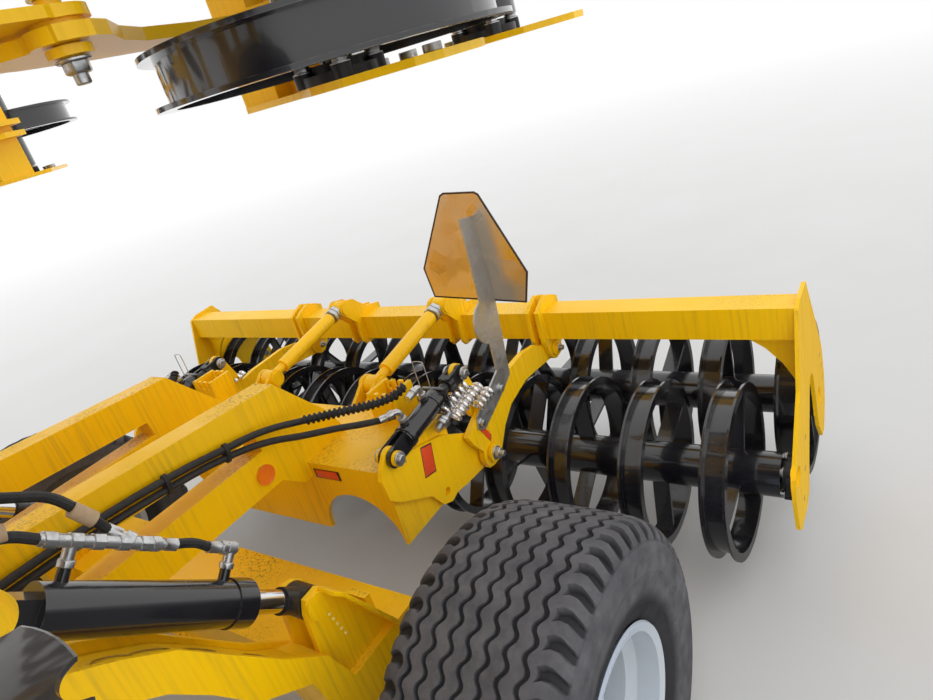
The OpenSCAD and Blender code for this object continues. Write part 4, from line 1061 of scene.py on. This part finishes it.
class HARROW_OT_bolts(Operator):
    """Sets the wheel nuts and the bolts of bearings, end plates, pivots, clamps and brackets"""

    bl_idname = "harrow.bolts"
    bl_label = "Bolts and nuts"

    CLAMP_FACES = ((0.6595, 1), (0.6045, -1))
    WING_PIVOT = (-0.276, 0.622)
    WING_LUG_FACES = ((-1, -0.045), (1, 0.027))
    BRACKET_X = 0.6478
    BRACKET_BOLTS = ((0.613, 0.748), (0.757, 0.790))
    SCREW_BACK = 0.078

    def wheel_nuts(self):
        nut = hex_bolt(0.0150)
        for label, side in SIDES:
            spots = []
            for k in range(6):
                a = math.radians(60 * k)
                spot = (WHEEL_X + 0.060, RIM_NUT_R * math.sin(a), TYRE_R + RIM_NUT_R * math.cos(a))
                spots.append(place_of(side) @ standing(spot, (1, 0, 0), a))
            spread(nut, spots, f"wheel_nuts_{label}", f"wheel_{label}", "zinc")
        discard(nut)

    def bearing_places(self, ends, shift=0.0):
        """The four bolts of each bearing; ends are (plate's inner face, way to the roller)."""
        spots = []
        for x, way in ends:
            for y, z in AXES:
                for k in range(4):
                    a = math.radians(45 + 90 * k)
                    spot = (x + way * BEARING_T, y + shift + BEARING_BOLT_R * math.cos(a),
                            z + BEARING_BOLT_R * math.sin(a))
                    spots.append(standing(spot, (way, 0, 0), 0.3 * k))
        return spots

    def plate_places(self, ends, shift=0.0):
        """The bolts in the holes of the end plates, headed on the roller's side."""
        return [standing((x + way * SEAT_GAP, y + shift, z), (-way, 0, 0), 0.3)
                for x, way in ends for y, z in PLATE_HOLES]

    def on_wings(self, master, name, places, body):
        for label, side in SIDES:
            spread(master, [place_of(side, True) @ m for m in places], f"{name}_{label}",
                   f"{body}_{label}", "zinc")

    def roller_ends(self, nut):
        plate_bolt = joined([rounded(cylinder(0.0103, 0.0118, 0.0, 16), 0.0008, 1),
                             rounded(cylinder(0.0165, 0.0120, -0.0120, 6), 0.0010, 1)],
                            "plate_bolt")
        inner = FRAME_HALF - END_T
        ends = ((WING_IN + END_T, 1), (WING_OUT - END_T, -1))
        bearings = self.bearing_places(((inner, -1), (-inner, 1)))
        spread(nut, [MACHINE @ m for m in bearings], "roller_bearing_bolts", "roller_frame", "zinc")
        self.on_wings(nut, "wing_bearing_bolts", self.bearing_places(ends, WING_SHIFT),
                      "wing_roller")
        spread(plate_bolt, both(*self.plate_places(((inner, -1),))), "end_plate_bolts",
               "roller_frame", "zinc")
        self.on_wings(plate_bolt, "wing_end_plate_bolts", self.plate_places(ends, WING_SHIFT),
                      "wing_roller")
        discard(plate_bolt)

    def execute(self, context):
        self.wheel_nuts()
        nut = hex_bolt(0.0125)
        self.roller_ends(nut)
        stub = hex_bolt(0.0185, True, 0.016)
        spread(stub, both(standing(ARM_PIVOT_NUT, (1, 0, 0), 0.2)), "arm_pivot_nuts", "frame",
               "zinc")
        clamps = [standing(across_side(x, CLAMP_PIN), (way, 0, 0), 0.3)
                  for x, way in self.CLAMP_FACES]
        spread(stub, both(*clamps), "beam_clamp_bolts", "roller_frame", "zinc")
        wing_pivots = [standing(across_side(x + m * off, self.WING_PIVOT), (end * m, 0, 0), 0.2)
                       for x, m in WING_PIVOTS for end, off in self.WING_LUG_FACES]
        self.on_wings(stub, "wing_pivot_nuts", wing_pivots, "wing")
        brackets = [MACHINE @ standing(across_side(self.BRACKET_X, point), (1, 0, 0), 0.3)
                    for point in self.BRACKET_BOLTS]
        spread(nut, brackets, "sign_bracket_bolts", "arms", "zinc")
        screw = threaded_end(0.0195, 0.044)
        way = across_side(0.0, Vector(LINK_REAR) - Vector(LINK_FRONT))
        spot = across_side(LINK_X, LINK_REAR) - way.normalized() * self.SCREW_BACK
        spread(screw, both(standing(spot, way)), "top_link_screws", "top_links", "zinc")
        discard(nut, stub, screw)
        return {"FINISHED"}


class HARROW_OT_depth_gear(Operator):
    """Builds the stop clips, spindles, pins and ports of the rear depth cylinders"""

    bl_idname = "harrow.depth_gear"
    bl_label = "Depth cylinders"

    CLIP_ROLL = math.radians(206)
    CLIP_PITCH = 0.0235
    STACK = (0.637, 0.494, 0.859)
    SPINDLE = (0.637, 0.420, 0.850)
    SPARES = (0.622, 0.632, 0.806)
    HOOP = (0.581, 0.470, 0.976)

    def clips(self, name, body, count, width, place):
        pack = clip_pack(count, self.CLIP_PITCH, width)
        turned = standing(place, DEPTH_WAY, self.CLIP_ROLL)
        spread(pack, both(turned), name, body, "bright_zinc")
        discard(pack)

    def pins(self):
        pin = pin_end(0.021)
        for name, body, point, half, roll in (
                ("depth_front_pins", "frame", DEPTH_FRONT, 0.0325, 0.5),
                ("depth_rear_pins", "depth_rods", DEPTH_REAR, 0.0280, 0.9)):
            spots = [standing(across_side(DEPTH_X + x, point), (x, 0, 0), roll)
                     for x in (half, -half)]
            spread(pin, both(*spots), name, body, "zinc")
        discard(pin)

    def execute(self, context):
        self.clips("stop_clips", "depth_rods", 6, 0.074, self.STACK)
        spindle = threaded_end(0.0125, 0.072)
        spread(spindle, both(standing(self.SPINDLE, DEPTH_WAY)), "stop_spindles", "depth_rods",
               "zinc")
        self.clips("spare_clips", "arms", 4, 0.070, self.SPARES)
        self.pins()
        hoop = tube([(0, 0, -0.030), (0, 0, 0.062), (0.002, 0, 0.070), (0.010, 0, 0.072),
                     (0.028, 0, 0.072), (0.036, 0, 0.070), (0.038, 0, 0.062), (0.038, 0, -0.030)],
                    0.0016, 6)
        spread(hoop, both(Matrix.Translation(self.HOOP)), "wire_hoops", "frame", "galvanised")
        discard(spindle, hoop)
        gland = cylinder(0.0365, 0.014, 0.0, 32)
        inset(gland, lambda c, n: n.z > 0.9, 0.006, -0.002)
        rounded(gland, 0.0012, 1)
        cap = rounded(box((-0.040, -0.036, 0.0), (0.040, 0.036, 0.012)), 0.003)
        boss = rounded(cylinder(0.014, 0.010, 0.0, 20), 0.002)
        for master, name, runs, off, way in (
                (gland, "depth_glands", (0.078,), 0.0, DEPTH_WAY),
                (cap, "depth_head_plates", (0.252,), 0.0, DEPTH_WAY),
                (boss, "depth_port_bosses", DEPTH_PORTS, 0.030, DEPTH_UP)):
            spots = [standing(across_side(DEPTH_X, along(DEPTH_FRONT, DEPTH_REAR, run, off)), way)
                     for run in runs]
            spread(master, both(*spots), name, "depth_barrels", "black_paint")
            discard(master)
        return {"FINISHED"}


class HARROW_OT_hoses(Operator):
    """Lays the hydraulic hoses along the rails and over the cylinders, with their fittings"""

    bl_idname = "harrow.hoses"
    bl_label = "Hoses and fittings"

    RAIL = ((0.318, -2.060, 1.000), (0.322, -1.700, 1.010), (0.322, -1.420, 1.035),
            (0.324, -1.150, 1.085), (0.326, -0.900, 1.112), (0.328, -0.600, 1.118),
            (0.330, -0.400, 1.112), (0.330, -0.200, 1.092), (0.330, -0.030, 1.062))
    UPPER_END = ((0.345, 0.090, 1.040), (0.395, 0.180, 1.018), (0.460, 0.262, 1.000),
                 (0.520, 0.330, 0.986), (0.556, 0.386, 0.984), (0.575, 0.416, 0.998))
    LOWER_END = ((0.350, 0.080, 1.010), (0.410, 0.150, 0.990), (0.470, 0.215, 0.975),
                 (0.530, 0.268, 0.962), (0.570, 0.306, 0.956), (0.592, 0.326, 0.956))

    def rail_hoses(self, home, label, radius, pitch):
        """Two hoses along the rail's outer side, then over the rail's end to the cylinder."""
        rail = [Vector(p) for p in self.RAIL]
        upper = rail + [Vector(p) for p in self.UPPER_END]
        lower = [p - Vector((0, 0, 0.024)) for p in rail] + [Vector(p) for p in self.LOWER_END]
        pieces = [tube(upper, radius), tube(lower, radius),
                  spiral_guard(upper[10:15], radius * 1.2, pitch)]
        finished(moved(joined(pieces, "rail_hoses"), home), f"rail_hoses_{label}",
                 between_bodies("frame", "depth_barrels", home, upper[10], upper[14]),
                 "hose_rubber")
        tie = cylinder(radius * 1.9, 0.012, -0.006, 20)
        tie.data.transform(Matrix.Diagonal((0.75, 1.5, 1.0, 1.0)))
        rounded(tie, 0.001, 1)
        spots = [home @ standing(rail[k] - Vector((0, 0, 0.012)), rail[min(k + 1, 8)] - rail[k - 1])
                 for k in (1, 3, 5, 7, 8)]
        spread(tie, spots, f"hose_ties_{label}", "frame", "hose_rubber")
        discard(tie)

    def depth_ends(self, home, label):
        """The bent adapters at the two ports of a depth cylinder and the hose ends in them."""
        up = Vector(DEPTH_UP)
        ports = []
        for run, tail in zip(DEPTH_PORTS, ((-0.55, -0.7, -0.1), (-0.02, -1.0, -0.25))):
            tail = Vector(tail).normalized()
            out = (tail - up * tail.dot(up)).normalized()
            foot = across_side(DEPTH_X, along(DEPTH_FRONT, DEPTH_REAR, run, 0.046))
            ports.append((foot, out, up))
        plumb_ports(home, "depth", f"_{label}", "depth_barrels", (0.0105, 0.036, 0.020),
                    (0.0098, 0.040), 0.016, ports)

    def lift_fittings(self, front, back, way, up):
        """The pipe block over the front port, with its unions, and the turned union at the back."""
        ridge, over = front + up * 0.042, back + up * 0.040

        def nut(radius, length, base, place, direction, roll=0.0, sides=6, edge=0.0012):
            return moved(rounded(cylinder(radius, length, base, sides), edge, 1),
                         standing(place, direction, roll))

        body = []
        for place in (front, back):
            body.append(moved(hex_bolt(0.0155, False), standing(place, up)))
            body.append(nut(0.0110, 0.034, 0.006, place, up, 0.0, 18, 0.001))
        body.append(nut(0.0112, 0.200, -0.055, ridge, way, 0.0, 20, 0.001))
        body += [nut(0.0152, 0.021, run, ridge, way, 0.4)
                 for run in (-0.048, -0.006, 0.032, 0.078, 0.118)]
        body.append(nut(0.0152, 0.022, -0.011, over, -way, 0.2))
        branch = Vector((-0.018, 0, 0)) + up * 0.012 - way * 0.036
        for length, place, direction in ((0.050, ridge + way * 0.142, way),
                                         (0.046, over - way * 0.008, -way),
                                         (0.052, ridge + way * 0.108 + up * 0.004, branch)):
            body.append(moved(union_fitting(0.0105, length), standing(place, direction)))
        return joined(body, "lift_fittings")

    def lift_set(self, home, label, radius):
        """Fittings and hoses of a lift cylinder."""
        way, up = Vector(LIFT_WAY), Vector(LIFT_UP)
        front, back = (across_side(AXLE_X, along(LIFT_FRONT, LIFT_EYE, run, 0.069))
                       for run in (0.117, 0.434))
        ridge, over = front + up * 0.042, back + up * 0.040
        finished(moved(self.lift_fittings(front, back, way, up), home), f"lift_fittings_{label}",
                 "lift_barrels", "zinc")
        bridge = tube([ridge + way * 0.185, ridge + way * 0.215 + up * 0.004,
                       over - way * 0.080 + up * 0.006, over - way * 0.052], radius)
        finished(moved(bridge, home), f"lift_bridge_hose_{label}", "lift_barrels", "hose_rubber")

        start = ridge - way * 0.055
        lug = Vector((-0.018, 0.0, 0.0))
        upper = [ridge + way * 0.070 + up * 0.016 + lug, ridge + way * 0.030 + up * 0.036 + lug,
                 ridge - way * 0.060 + up * 0.062 + lug * 2.0, Vector((0.560, -0.860, 1.430)),
                 Vector((0.450, -0.980, 1.360)), Vector((0.360, -1.080, 1.255))]
        lower = [start + way * 0.010, start - way * 0.050, Vector((0.620, -0.800, 1.395)),
                 Vector((0.520, -0.900, 1.370)), Vector((0.430, -1.010, 1.300)),
                 Vector((0.350, -1.120, 1.215))]
        pair = joined([tube(upper, radius), tube(lower, radius)], "lift_hoses")
        finished(moved(pair, home), f"lift_hoses_{label}",
                 between_bodies("frame", "lift_barrels", home, upper[5], upper[2]), "hose_rubber")
        sleeve = rounded(cylinder(radius * 1.5, 0.045, -0.0225, 20), 0.0012, 1)
        inset(sleeve, lambda c, n: n.z > 0.9, 0.002, -0.001)
        spots = [home @ standing(upper[1] - way * 0.015 + up * 0.005, upper[2] - upper[0]),
                 home @ standing(lower[1] - way * 0.02, lower[2] - lower[1])]
        spread(sleeve, spots, f"hose_sleeves_{label}", "lift_barrels", "sleeve")
        discard(sleeve)

    def execute(self, context):
        hoses = context.scene.harrow_hoses
        for label, side in SIDES:
            home = place_of(side)
            self.rail_hoses(home, label, hoses.hose_radius, hoses.wrap_pitch)
            self.depth_ends(home, label)
            self.lift_set(home, label, hoses.hose_radius)
        return {"FINISHED"}


class HARROW_OT_films(Operator):
    """Sets the round reflectors and the blank coloured films"""

    bl_idname = "harrow.films"
    bl_label = "Reflectors and films"

    BRACKET = ((0.354, 0.826), (0.399, 0.812), (0.384, 0.729), (0.336, 0.740))
    ARM = ((0.606, 0.722), (0.617, 0.742), (0.650, 0.679), (0.639, 0.660))
    CLAMP = ((1.092, 0.838), (1.112, 0.846), (1.124, 0.806), (1.104, 0.798))
    BOX = ((-0.052, -0.016), (0.052, -0.016), (0.052, 0.016), (-0.052, 0.016))
    BOX_X, BOX_Y, BOX_Z = 0.372, 0.1985, 0.815
    RIM_BEHIND = 0.0004
    LENS = (0.3095, 0.057, 0.913)

    def film(self, name, corners, stand, body, look):
        piece = outline_plate(name, corners, 0.0008, 0.0002)
        spread(piece, both(stand), name, body, look)
        discard(piece)

    def grown(self, corners, by):
        middle = sum((Vector(c) for c in corners), Vector((0, 0))) / len(corners)
        return [tuple(Vector(c) + (Vector(c) - middle).normalized() * by) for c in corners]

    def execute(self, context):
        lens = cylinder(0.0290, 0.006, 0.0, 48)
        inset(lens, lambda c, n: n.z > 0.9, 0.003, -0.0015)
        rounded(lens, 0.0008, 2)
        spread(lens, both(standing(self.LENS, (1, 0, 0))), "side_reflectors", "frame", "reflector")
        discard(lens)
        for name, corners, x, rim, body in (("bracket", self.BRACKET, 0.6158, 0.005, "frame"),
                                            ("arm", self.ARM, 0.6428, 0.003, "arms")):
            self.film(f"{name}_films", corners, side_matrix(x), body, "red_film")
            self.film(f"{name}_film_rims", self.grown(corners, rim),
                      side_matrix(x - self.RIM_BEHIND), body, "dark_film")
        for name, reach, size, look in (("box_film_rims", 0.0, 1.0, "dark_film"),
                                        ("box_films", 0.0006, 0.84, "red_film")):
            stand = (Matrix.Translation((self.BOX_X, self.BOX_Y - reach, self.BOX_Z))
                     @ Matrix.Rotation(math.radians(90), 4, "X"))
            self.film(name, [(x * size, z * size) for x, z in self.BOX], stand, "frame", look)
        self.film("clamp_films", self.CLAMP, side_matrix(0.6588), "roller_frame", "red_film")
        return {"FINISHED"}


class HARROW_OT_axle_trim(Operator):
    """Closes the axle arms with their covers and plug welds, and sets the brackets' dots"""

    bl_idname = "harrow.axle_trim"
    bl_label = "Axle arm covers"

    TOP = ((-0.790, 1.153), (-0.670, 1.106), (-0.575, 1.042), (-0.490, 0.973), (-0.427, 0.898),
           (-0.335, 0.776), (-0.250, 0.694))
    PLUGS = ((-0.566, 0.036), (-0.514, 0.040), (-0.440, 0.038), (-0.352, 0.034))
    PLUG_HALF = 0.030
    FLANGE = ((-0.180, 0.840), (-0.156, 0.816), (-0.030, 0.585), (-0.038, 0.581),
              (-0.164, 0.811), (-0.184, 0.831))

    def level(self, y):
        """Height and slope of the cover at y."""
        for (y0, z0), (y1, z1) in zip(self.TOP, self.TOP[1:]):
            if y0 <= y <= y1:
                slope = Vector((0.0, y1 - y0, z1 - z0)).normalized()
                return z0 + (z1 - z0) * (y - y0) / (y1 - y0), slope
        raise RuntimeError("plug weld off the cover")

    def plug_places(self):
        spots = []
        for y, half in self.PLUGS:
            z, way = self.level(y)
            up = Vector((0.0, -way.z, way.y))
            turn = Matrix((way, Vector((-1, 0, 0)), up)).transposed().to_4x4()
            spots.append(Matrix.Translation(Vector((0.664, y, z)) + up * 0.001) @ turn
                         @ Matrix.Scale(half / self.PLUG_HALF, 4, (1, 0, 0)))
        return spots

    def plate(self, name, outline, depth, edge, x):
        piece = outline_plate("plate", outline, depth, edge)
        spread(piece, both(side_matrix(x)), name, "axle", "yellow_paint")
        discard(piece)

    def execute(self, context):
        ridge = list(self.TOP) + [(y - 0.006, z - 0.010) for y, z in reversed(self.TOP)]
        self.plate("axle_arm_covers", ridge, 0.107, 0.0008, 0.7135)
        arc = [(self.PLUG_HALF * math.cos(a), 0.017 * math.sin(a), 0.0)
               for a in (math.radians(x) for x in range(0, 181, 20))]
        plug = tube(arc + [(x, -0.001, 0.0) for x in (-0.015, 0.0, 0.015)], 0.0016, 6, True)
        spread(plug, both(*self.plug_places()), "plug_welds", "axle", "dark_weld")
        dot = rounded(cylinder(0.0042, 0.0016, 0.0, 12), 0.0005, 1)
        spots = [standing((0.7070, -0.192 + 0.028 * share, 0.800 - 0.118 * share), (1, 0, 0))
                 for share in (k / 6 for k in range(7))]
        spread(dot, both(*spots), "bracket_dots", "axle", "bright_dot")
        discard(plug, dot)
        self.plate("lift_bracket_flanges", self.FLANGE, 0.052, 0.001, 0.7585)
        return {"FINISHED"}


class HARROW_OT_disc_gear(Operator):
    """Sets the clamps' rubber cords and the bolted hubs of all discs"""

    bl_idname = "harrow.disc_gear"
    bl_label = "Disc clamps and hubs"

    def hub(self):
        bolt = hex_bolt(0.0095, False)
        parts = [rounded(cylinder(0.058, 0.005, 0.0, 28), 0.0012, 1)]
        for k in range(5):
            a = 2 * math.pi * k / 5
            place = (0.042 * math.cos(a), 0.042 * math.sin(a), 0.004)
            parts.append(copied(bolt, Matrix.Translation(place)))
        discard(bolt)
        return joined(parts + [rounded(cylinder(0.018, 0.012, 0.004, 20), 0.004, 2)], "hub")

    def execute(self, context):
        cord = rounded(cylinder(0.0225, 0.0055, -0.002, 18), 0.0015, 1)
        hub = self.hub()
        corners = [standing(Matrix.Rotation(math.radians(90 * turn), 4, "X") @ Vector((0, 0.085, 0))
                            + Vector((end * 0.045, 0, 0)), (end, 0, 0))
                   for turn in range(4) for end in (-1, 1)]
        groups = [("centre", "frame", place_of(), -3.5 * DISC_PITCH, 1)]
        for label, side in SIDES:
            groups.append((label, f"wing_{label}", place_of(side, True), 1.0 + DISC_PITCH / 2,
                           side))
        for label, body, home, first, hand in groups:
            cords, hubs = [], []
            for k in range(8):
                for row, y in enumerate(CROSS_ROWS):
                    clamp = home @ Matrix.Translation((first + k * DISC_PITCH, y, CROSS_Z))
                    cords += [clamp @ corner for corner in corners]
                    s = hand * (1 - 2 * row)
                    axle = (clamp @ Matrix.Translation((s * 0.020, HUB_BACK, DISC_DROP))
                            @ Matrix.Rotation(-s * DISC_ANGLE, 4, "Z"))
                    hubs.append(axle @ standing((-s * 0.0462, 0, 0), (-s, 0, 0), 0.3 * k))
            spread(cord, cords, f"clamp_cords_{label}", body, "hose_rubber")
            spread(hub, hubs, f"disc_hubs_{label}", body, "hub_black")
        discard(cord, hub)
        return {"FINISHED"}


class HARROW_OT_sign_trim(Operator):
    """Sets the dark rim of the sign plate and its bolts"""

    bl_idname = "harrow.sign_trim"
    bl_label = "Sign plate rim"

    EDGE = ((-0.195, -0.075), (-0.175, -0.178), (0.175, -0.178), (0.195, -0.075), (0.070, 0.170),
            (0.056, 0.178), (-0.056, 0.178), (-0.070, 0.170))
    MIDDLE = (0.598, 0.8695, 1.243)
    LEAN = math.radians(5)
    RIM_SCALE = 1.022
    RIM_T = 0.0062

    def execute(self, context):
        edge = [(x * self.RIM_SCALE, y * self.RIM_SCALE) for x, y in self.EDGE]
        rim = outline_plate("rim", edge, self.RIM_T)
        moved(rim, Matrix.Translation((0, 0, self.RIM_T / 2)))
        inset(rim, lambda c, n: abs(n.z) > 0.9, 0.0085, -0.0024)
        rounded(rim, 0.0008, 1)
        stand = (MACHINE @ Matrix.Translation(self.MIDDLE)
                 @ Matrix.Rotation(self.LEAN, 4, "Y") @ Matrix.Rotation(math.radians(90), 4, "X"))
        spread(rim, [stand], "sign_rim", "arms", "dark_film")
        bolt = hex_bolt(0.0080, True, 0.004)
        spots = [MACHINE @ standing((0.622, 0.868, z), (0, -1, 0), 0.2) for z in (1.165, 1.325)]
        spread(bolt, spots, "sign_bolts", "arms", "zinc")
        discard(rim, bolt)
        return {"FINISHED"}


class HARROW_OT_fold_gear(Operator):
    """Plumbs the folding cylinders from the frame"""

    bl_idname = "harrow.fold_gear"
    bl_label = "Folding cylinders"

    def execute(self, context):
        radius = context.scene.harrow_hoses.hose_radius
        way, up = Vector(FOLD_WAY), Vector(FOLD_UP)
        for (label, side), row in zip(SIDES, FOLD_ROWS):
            home = place_of(side)
            foot = Vector((FOLD_ANCHOR[0], row, FOLD_ANCHOR[1]))
            ports, hoses = [], []
            for run, back in ((0.111, 0.060), (0.474, 0.035)):
                spot = foot + way * run + up * 0.072
                ports.append((spot, -way, up))
                tail = spot + up * 0.040 - way * 0.064
                line = [tail, tail - way * 0.03 + up * 0.002]
                line += [Vector((x, row + y, z)) for x, y, z in (
                    (-0.27, back, 1.235), (-0.315, back * 2.2, 1.17), (-0.322, back * 3.4, 1.085),
                    (-0.322, 0.24 + back, 1.052))]
                hoses.append(tube(line, radius))
            plumb_ports(home, "fold", f"_{label}", f"fold_barrel_{label}", (0.0125, 0.040, 0.024),
                        (0.0110, 0.046), 0.020, ports)
            finished(moved(joined(hoses, "fold_hoses"), home), f"fold_hoses_{label}",
                     between_bodies("frame", f"fold_barrel_{label}", home,
                                    (-0.322, row + 0.14, 1.085), foot + up * 0.112), "hose_rubber")
        return {"FINISHED"}


class HARROW_OT_drawbar_gear(Operator):
    """Lays the supply hoses down the drawbar to their couplers and plumbs the drawbar cylinder"""

    bl_idname = "harrow.drawbar_gear"
    bl_label = "Drawbar hoses and couplers"

    SUPPLY = ((0.318, -2.060, 1.000), (0.312, -2.130, 0.985), (0.300, -2.230, 0.930),
              (0.286, -2.360, 0.850), (0.262, -2.560, 0.800), (0.196, -3.000, 0.740),
              (0.126, -3.400, 0.690), (0.070, -3.700, 0.670))
    CYLINDER_END = ((0.05, -1.990, 1.235), (0.130, -1.935, 1.225), (0.235, -1.900, 1.165),
                    (0.265, -1.800, 1.110))

    def supply(self, radius):
        """Four hoses down the drawbar's right leg, each to a capped coupler in the holder."""
        coupler = joined([rounded(cylinder(0.0150, 0.052, 0.0, 20), 0.0016, 2),
                          rounded(cylinder(0.0185, 0.020, 0.014, 20), 0.0016, 2),
                          rounded(cylinder(0.0140, 0.016, -0.016, 6), 0.001, 1)], "coupler")
        cap = cylinder(0.0172, 0.022, 0.050, 20)
        inset(cap, lambda c, n: n.z > 0.9, 0.003, -0.001)
        rounded(cap, 0.0012, 1)
        hoses, spots = [], []
        for k in range(4):
            off = Vector((-0.021 * (k % 2), 0.0, 0.021 * (k // 2)))
            tip = Vector((0.045 + 0.042 * (k - 1.5), -3.930 - 0.02 * (k % 2), 0.800))
            line = [Vector(p) + off for p in self.SUPPLY]
            line += [Vector((0.055 + 0.024 * (k - 1.5), -3.800, 0.715 + 0.012 * k)),
                     tip + Vector((0, 0.050, -0.030)), tip + Vector((0, 0.018, -0.006))]
            hoses.append(tube(line, radius))
            spots.append(MACHINE @ standing(tip, (0.0, -0.94, 0.34)))
        finished(moved(joined(hoses, "supply_hoses"), MACHINE), "supply_hoses",
                 between_bodies("frame", "drawbar", MACHINE, (0.31, -2.13, 0.985),
                                (0.29, -2.36, 0.85)), "hose_rubber")
        spread(coupler, spots, "couplers", "drawbar", "zinc")
        spread(cap, spots, "coupler_caps", "drawbar", "red_film")
        holder = joined([rounded(box((-0.100, -0.012, -0.004), (0.100, 0.012, 0.004)), 0.002),
                         rounded(box((-0.012, -0.006, -0.250), (0.012, 0.006, 0.0)), 0.002)],
                        "holder")
        stand = MACHINE @ Matrix.Translation((0.045, -3.925, 0.778))
        finished(moved(holder, stand), "coupler_holder", "drawbar", "black_paint")
        discard(coupler, cap)

    def execute(self, context):
        radius = context.scene.harrow_hoses.hose_radius
        self.supply(radius)
        start, aim, up = Vector(DRAW_FOOT), Vector(DRAW_WAY), Vector(DRAW_UP)
        ports, hoses = [], []
        for run, side in ((0.111, 1), (0.494, -1)):
            spot = start + aim * run + up * 0.064
            ports.append((spot, -aim, up))
            tail = spot + up * 0.038 - aim * 0.062
            line = [tail, tail - aim * 0.04]
            line += [Vector((x * side, y, z)) for x, y, z in self.CYLINDER_END]
            hoses.append(tube(line, radius))
        plumb_ports(MACHINE, "drawbar", "", "drawbar_barrel", (0.0120, 0.038, 0.022),
                    (0.0105, 0.044), 0.020, ports)
        finished(moved(joined(hoses, "drawbar_hoses"), MACHINE), "drawbar_hoses",
                 between_bodies("frame", "drawbar_barrel", MACHINE, (0.0, -1.940, 1.225),
                                (0.0, -2.060, 1.215)), "hose_rubber")
        return {"FINISHED"}


class HARROW_PT_panel(Panel):
    """Lists the steps that dress the harrow"""

    bl_idname = "HARROW_PT_panel"
    bl_label = "Disc harrow"
    bl_space_type = "VIEW_3D"
    bl_region_type = "UI"
    bl_category = "Harrow"

    def draw(self, context):
        for settings in ("harrow_paint", "harrow_tyres", "harrow_hoses", "harrow_stage"):
            group = getattr(context.scene, settings)
            for name in group.bl_rna.properties.keys():
                if name not in ("rna_type", "name"):
                    self.layout.prop(group, name)
        for step in STEPS:
            self.layout.operator(step.bl_idname)


STEPS = (HARROW_OT_stage, HARROW_OT_finishes, HARROW_OT_tyres, HARROW_OT_bolts,
         HARROW_OT_depth_gear, HARROW_OT_hoses, HARROW_OT_films, HARROW_OT_axle_trim,
         HARROW_OT_disc_gear, HARROW_OT_sign_trim, HARROW_OT_fold_gear, HARROW_OT_drawbar_gear)
SETTINGS = (("harrow_paint", HarrowPaint), ("harrow_tyres", HarrowTyres),
            ("harrow_hoses", HarrowHoses), ("harrow_stage", HarrowStage))


def register():
    for name, group in SETTINGS:
        bpy.utils.register_class(group)
        setattr(bpy.types.Scene, name, PointerProperty(type=group))
    for step in STEPS:
        bpy.utils.register_class(step)
    bpy.utils.register_class(HARROW_PT_panel)


def unregister():
    bpy.utils.unregister_class(HARROW_PT_panel)
    for step in reversed(STEPS):
        bpy.utils.unregister_class(step)
    for name, group in reversed(SETTINGS):
        delattr(bpy.types.Scene, name)
        bpy.utils.unregister_class(group)


def main():
    register()
    for step in STEPS:
        area, name = step.bl_idname.split(".")
        getattr(getattr(bpy.ops, area), name)()


if __name__ == "__main__":
    main()
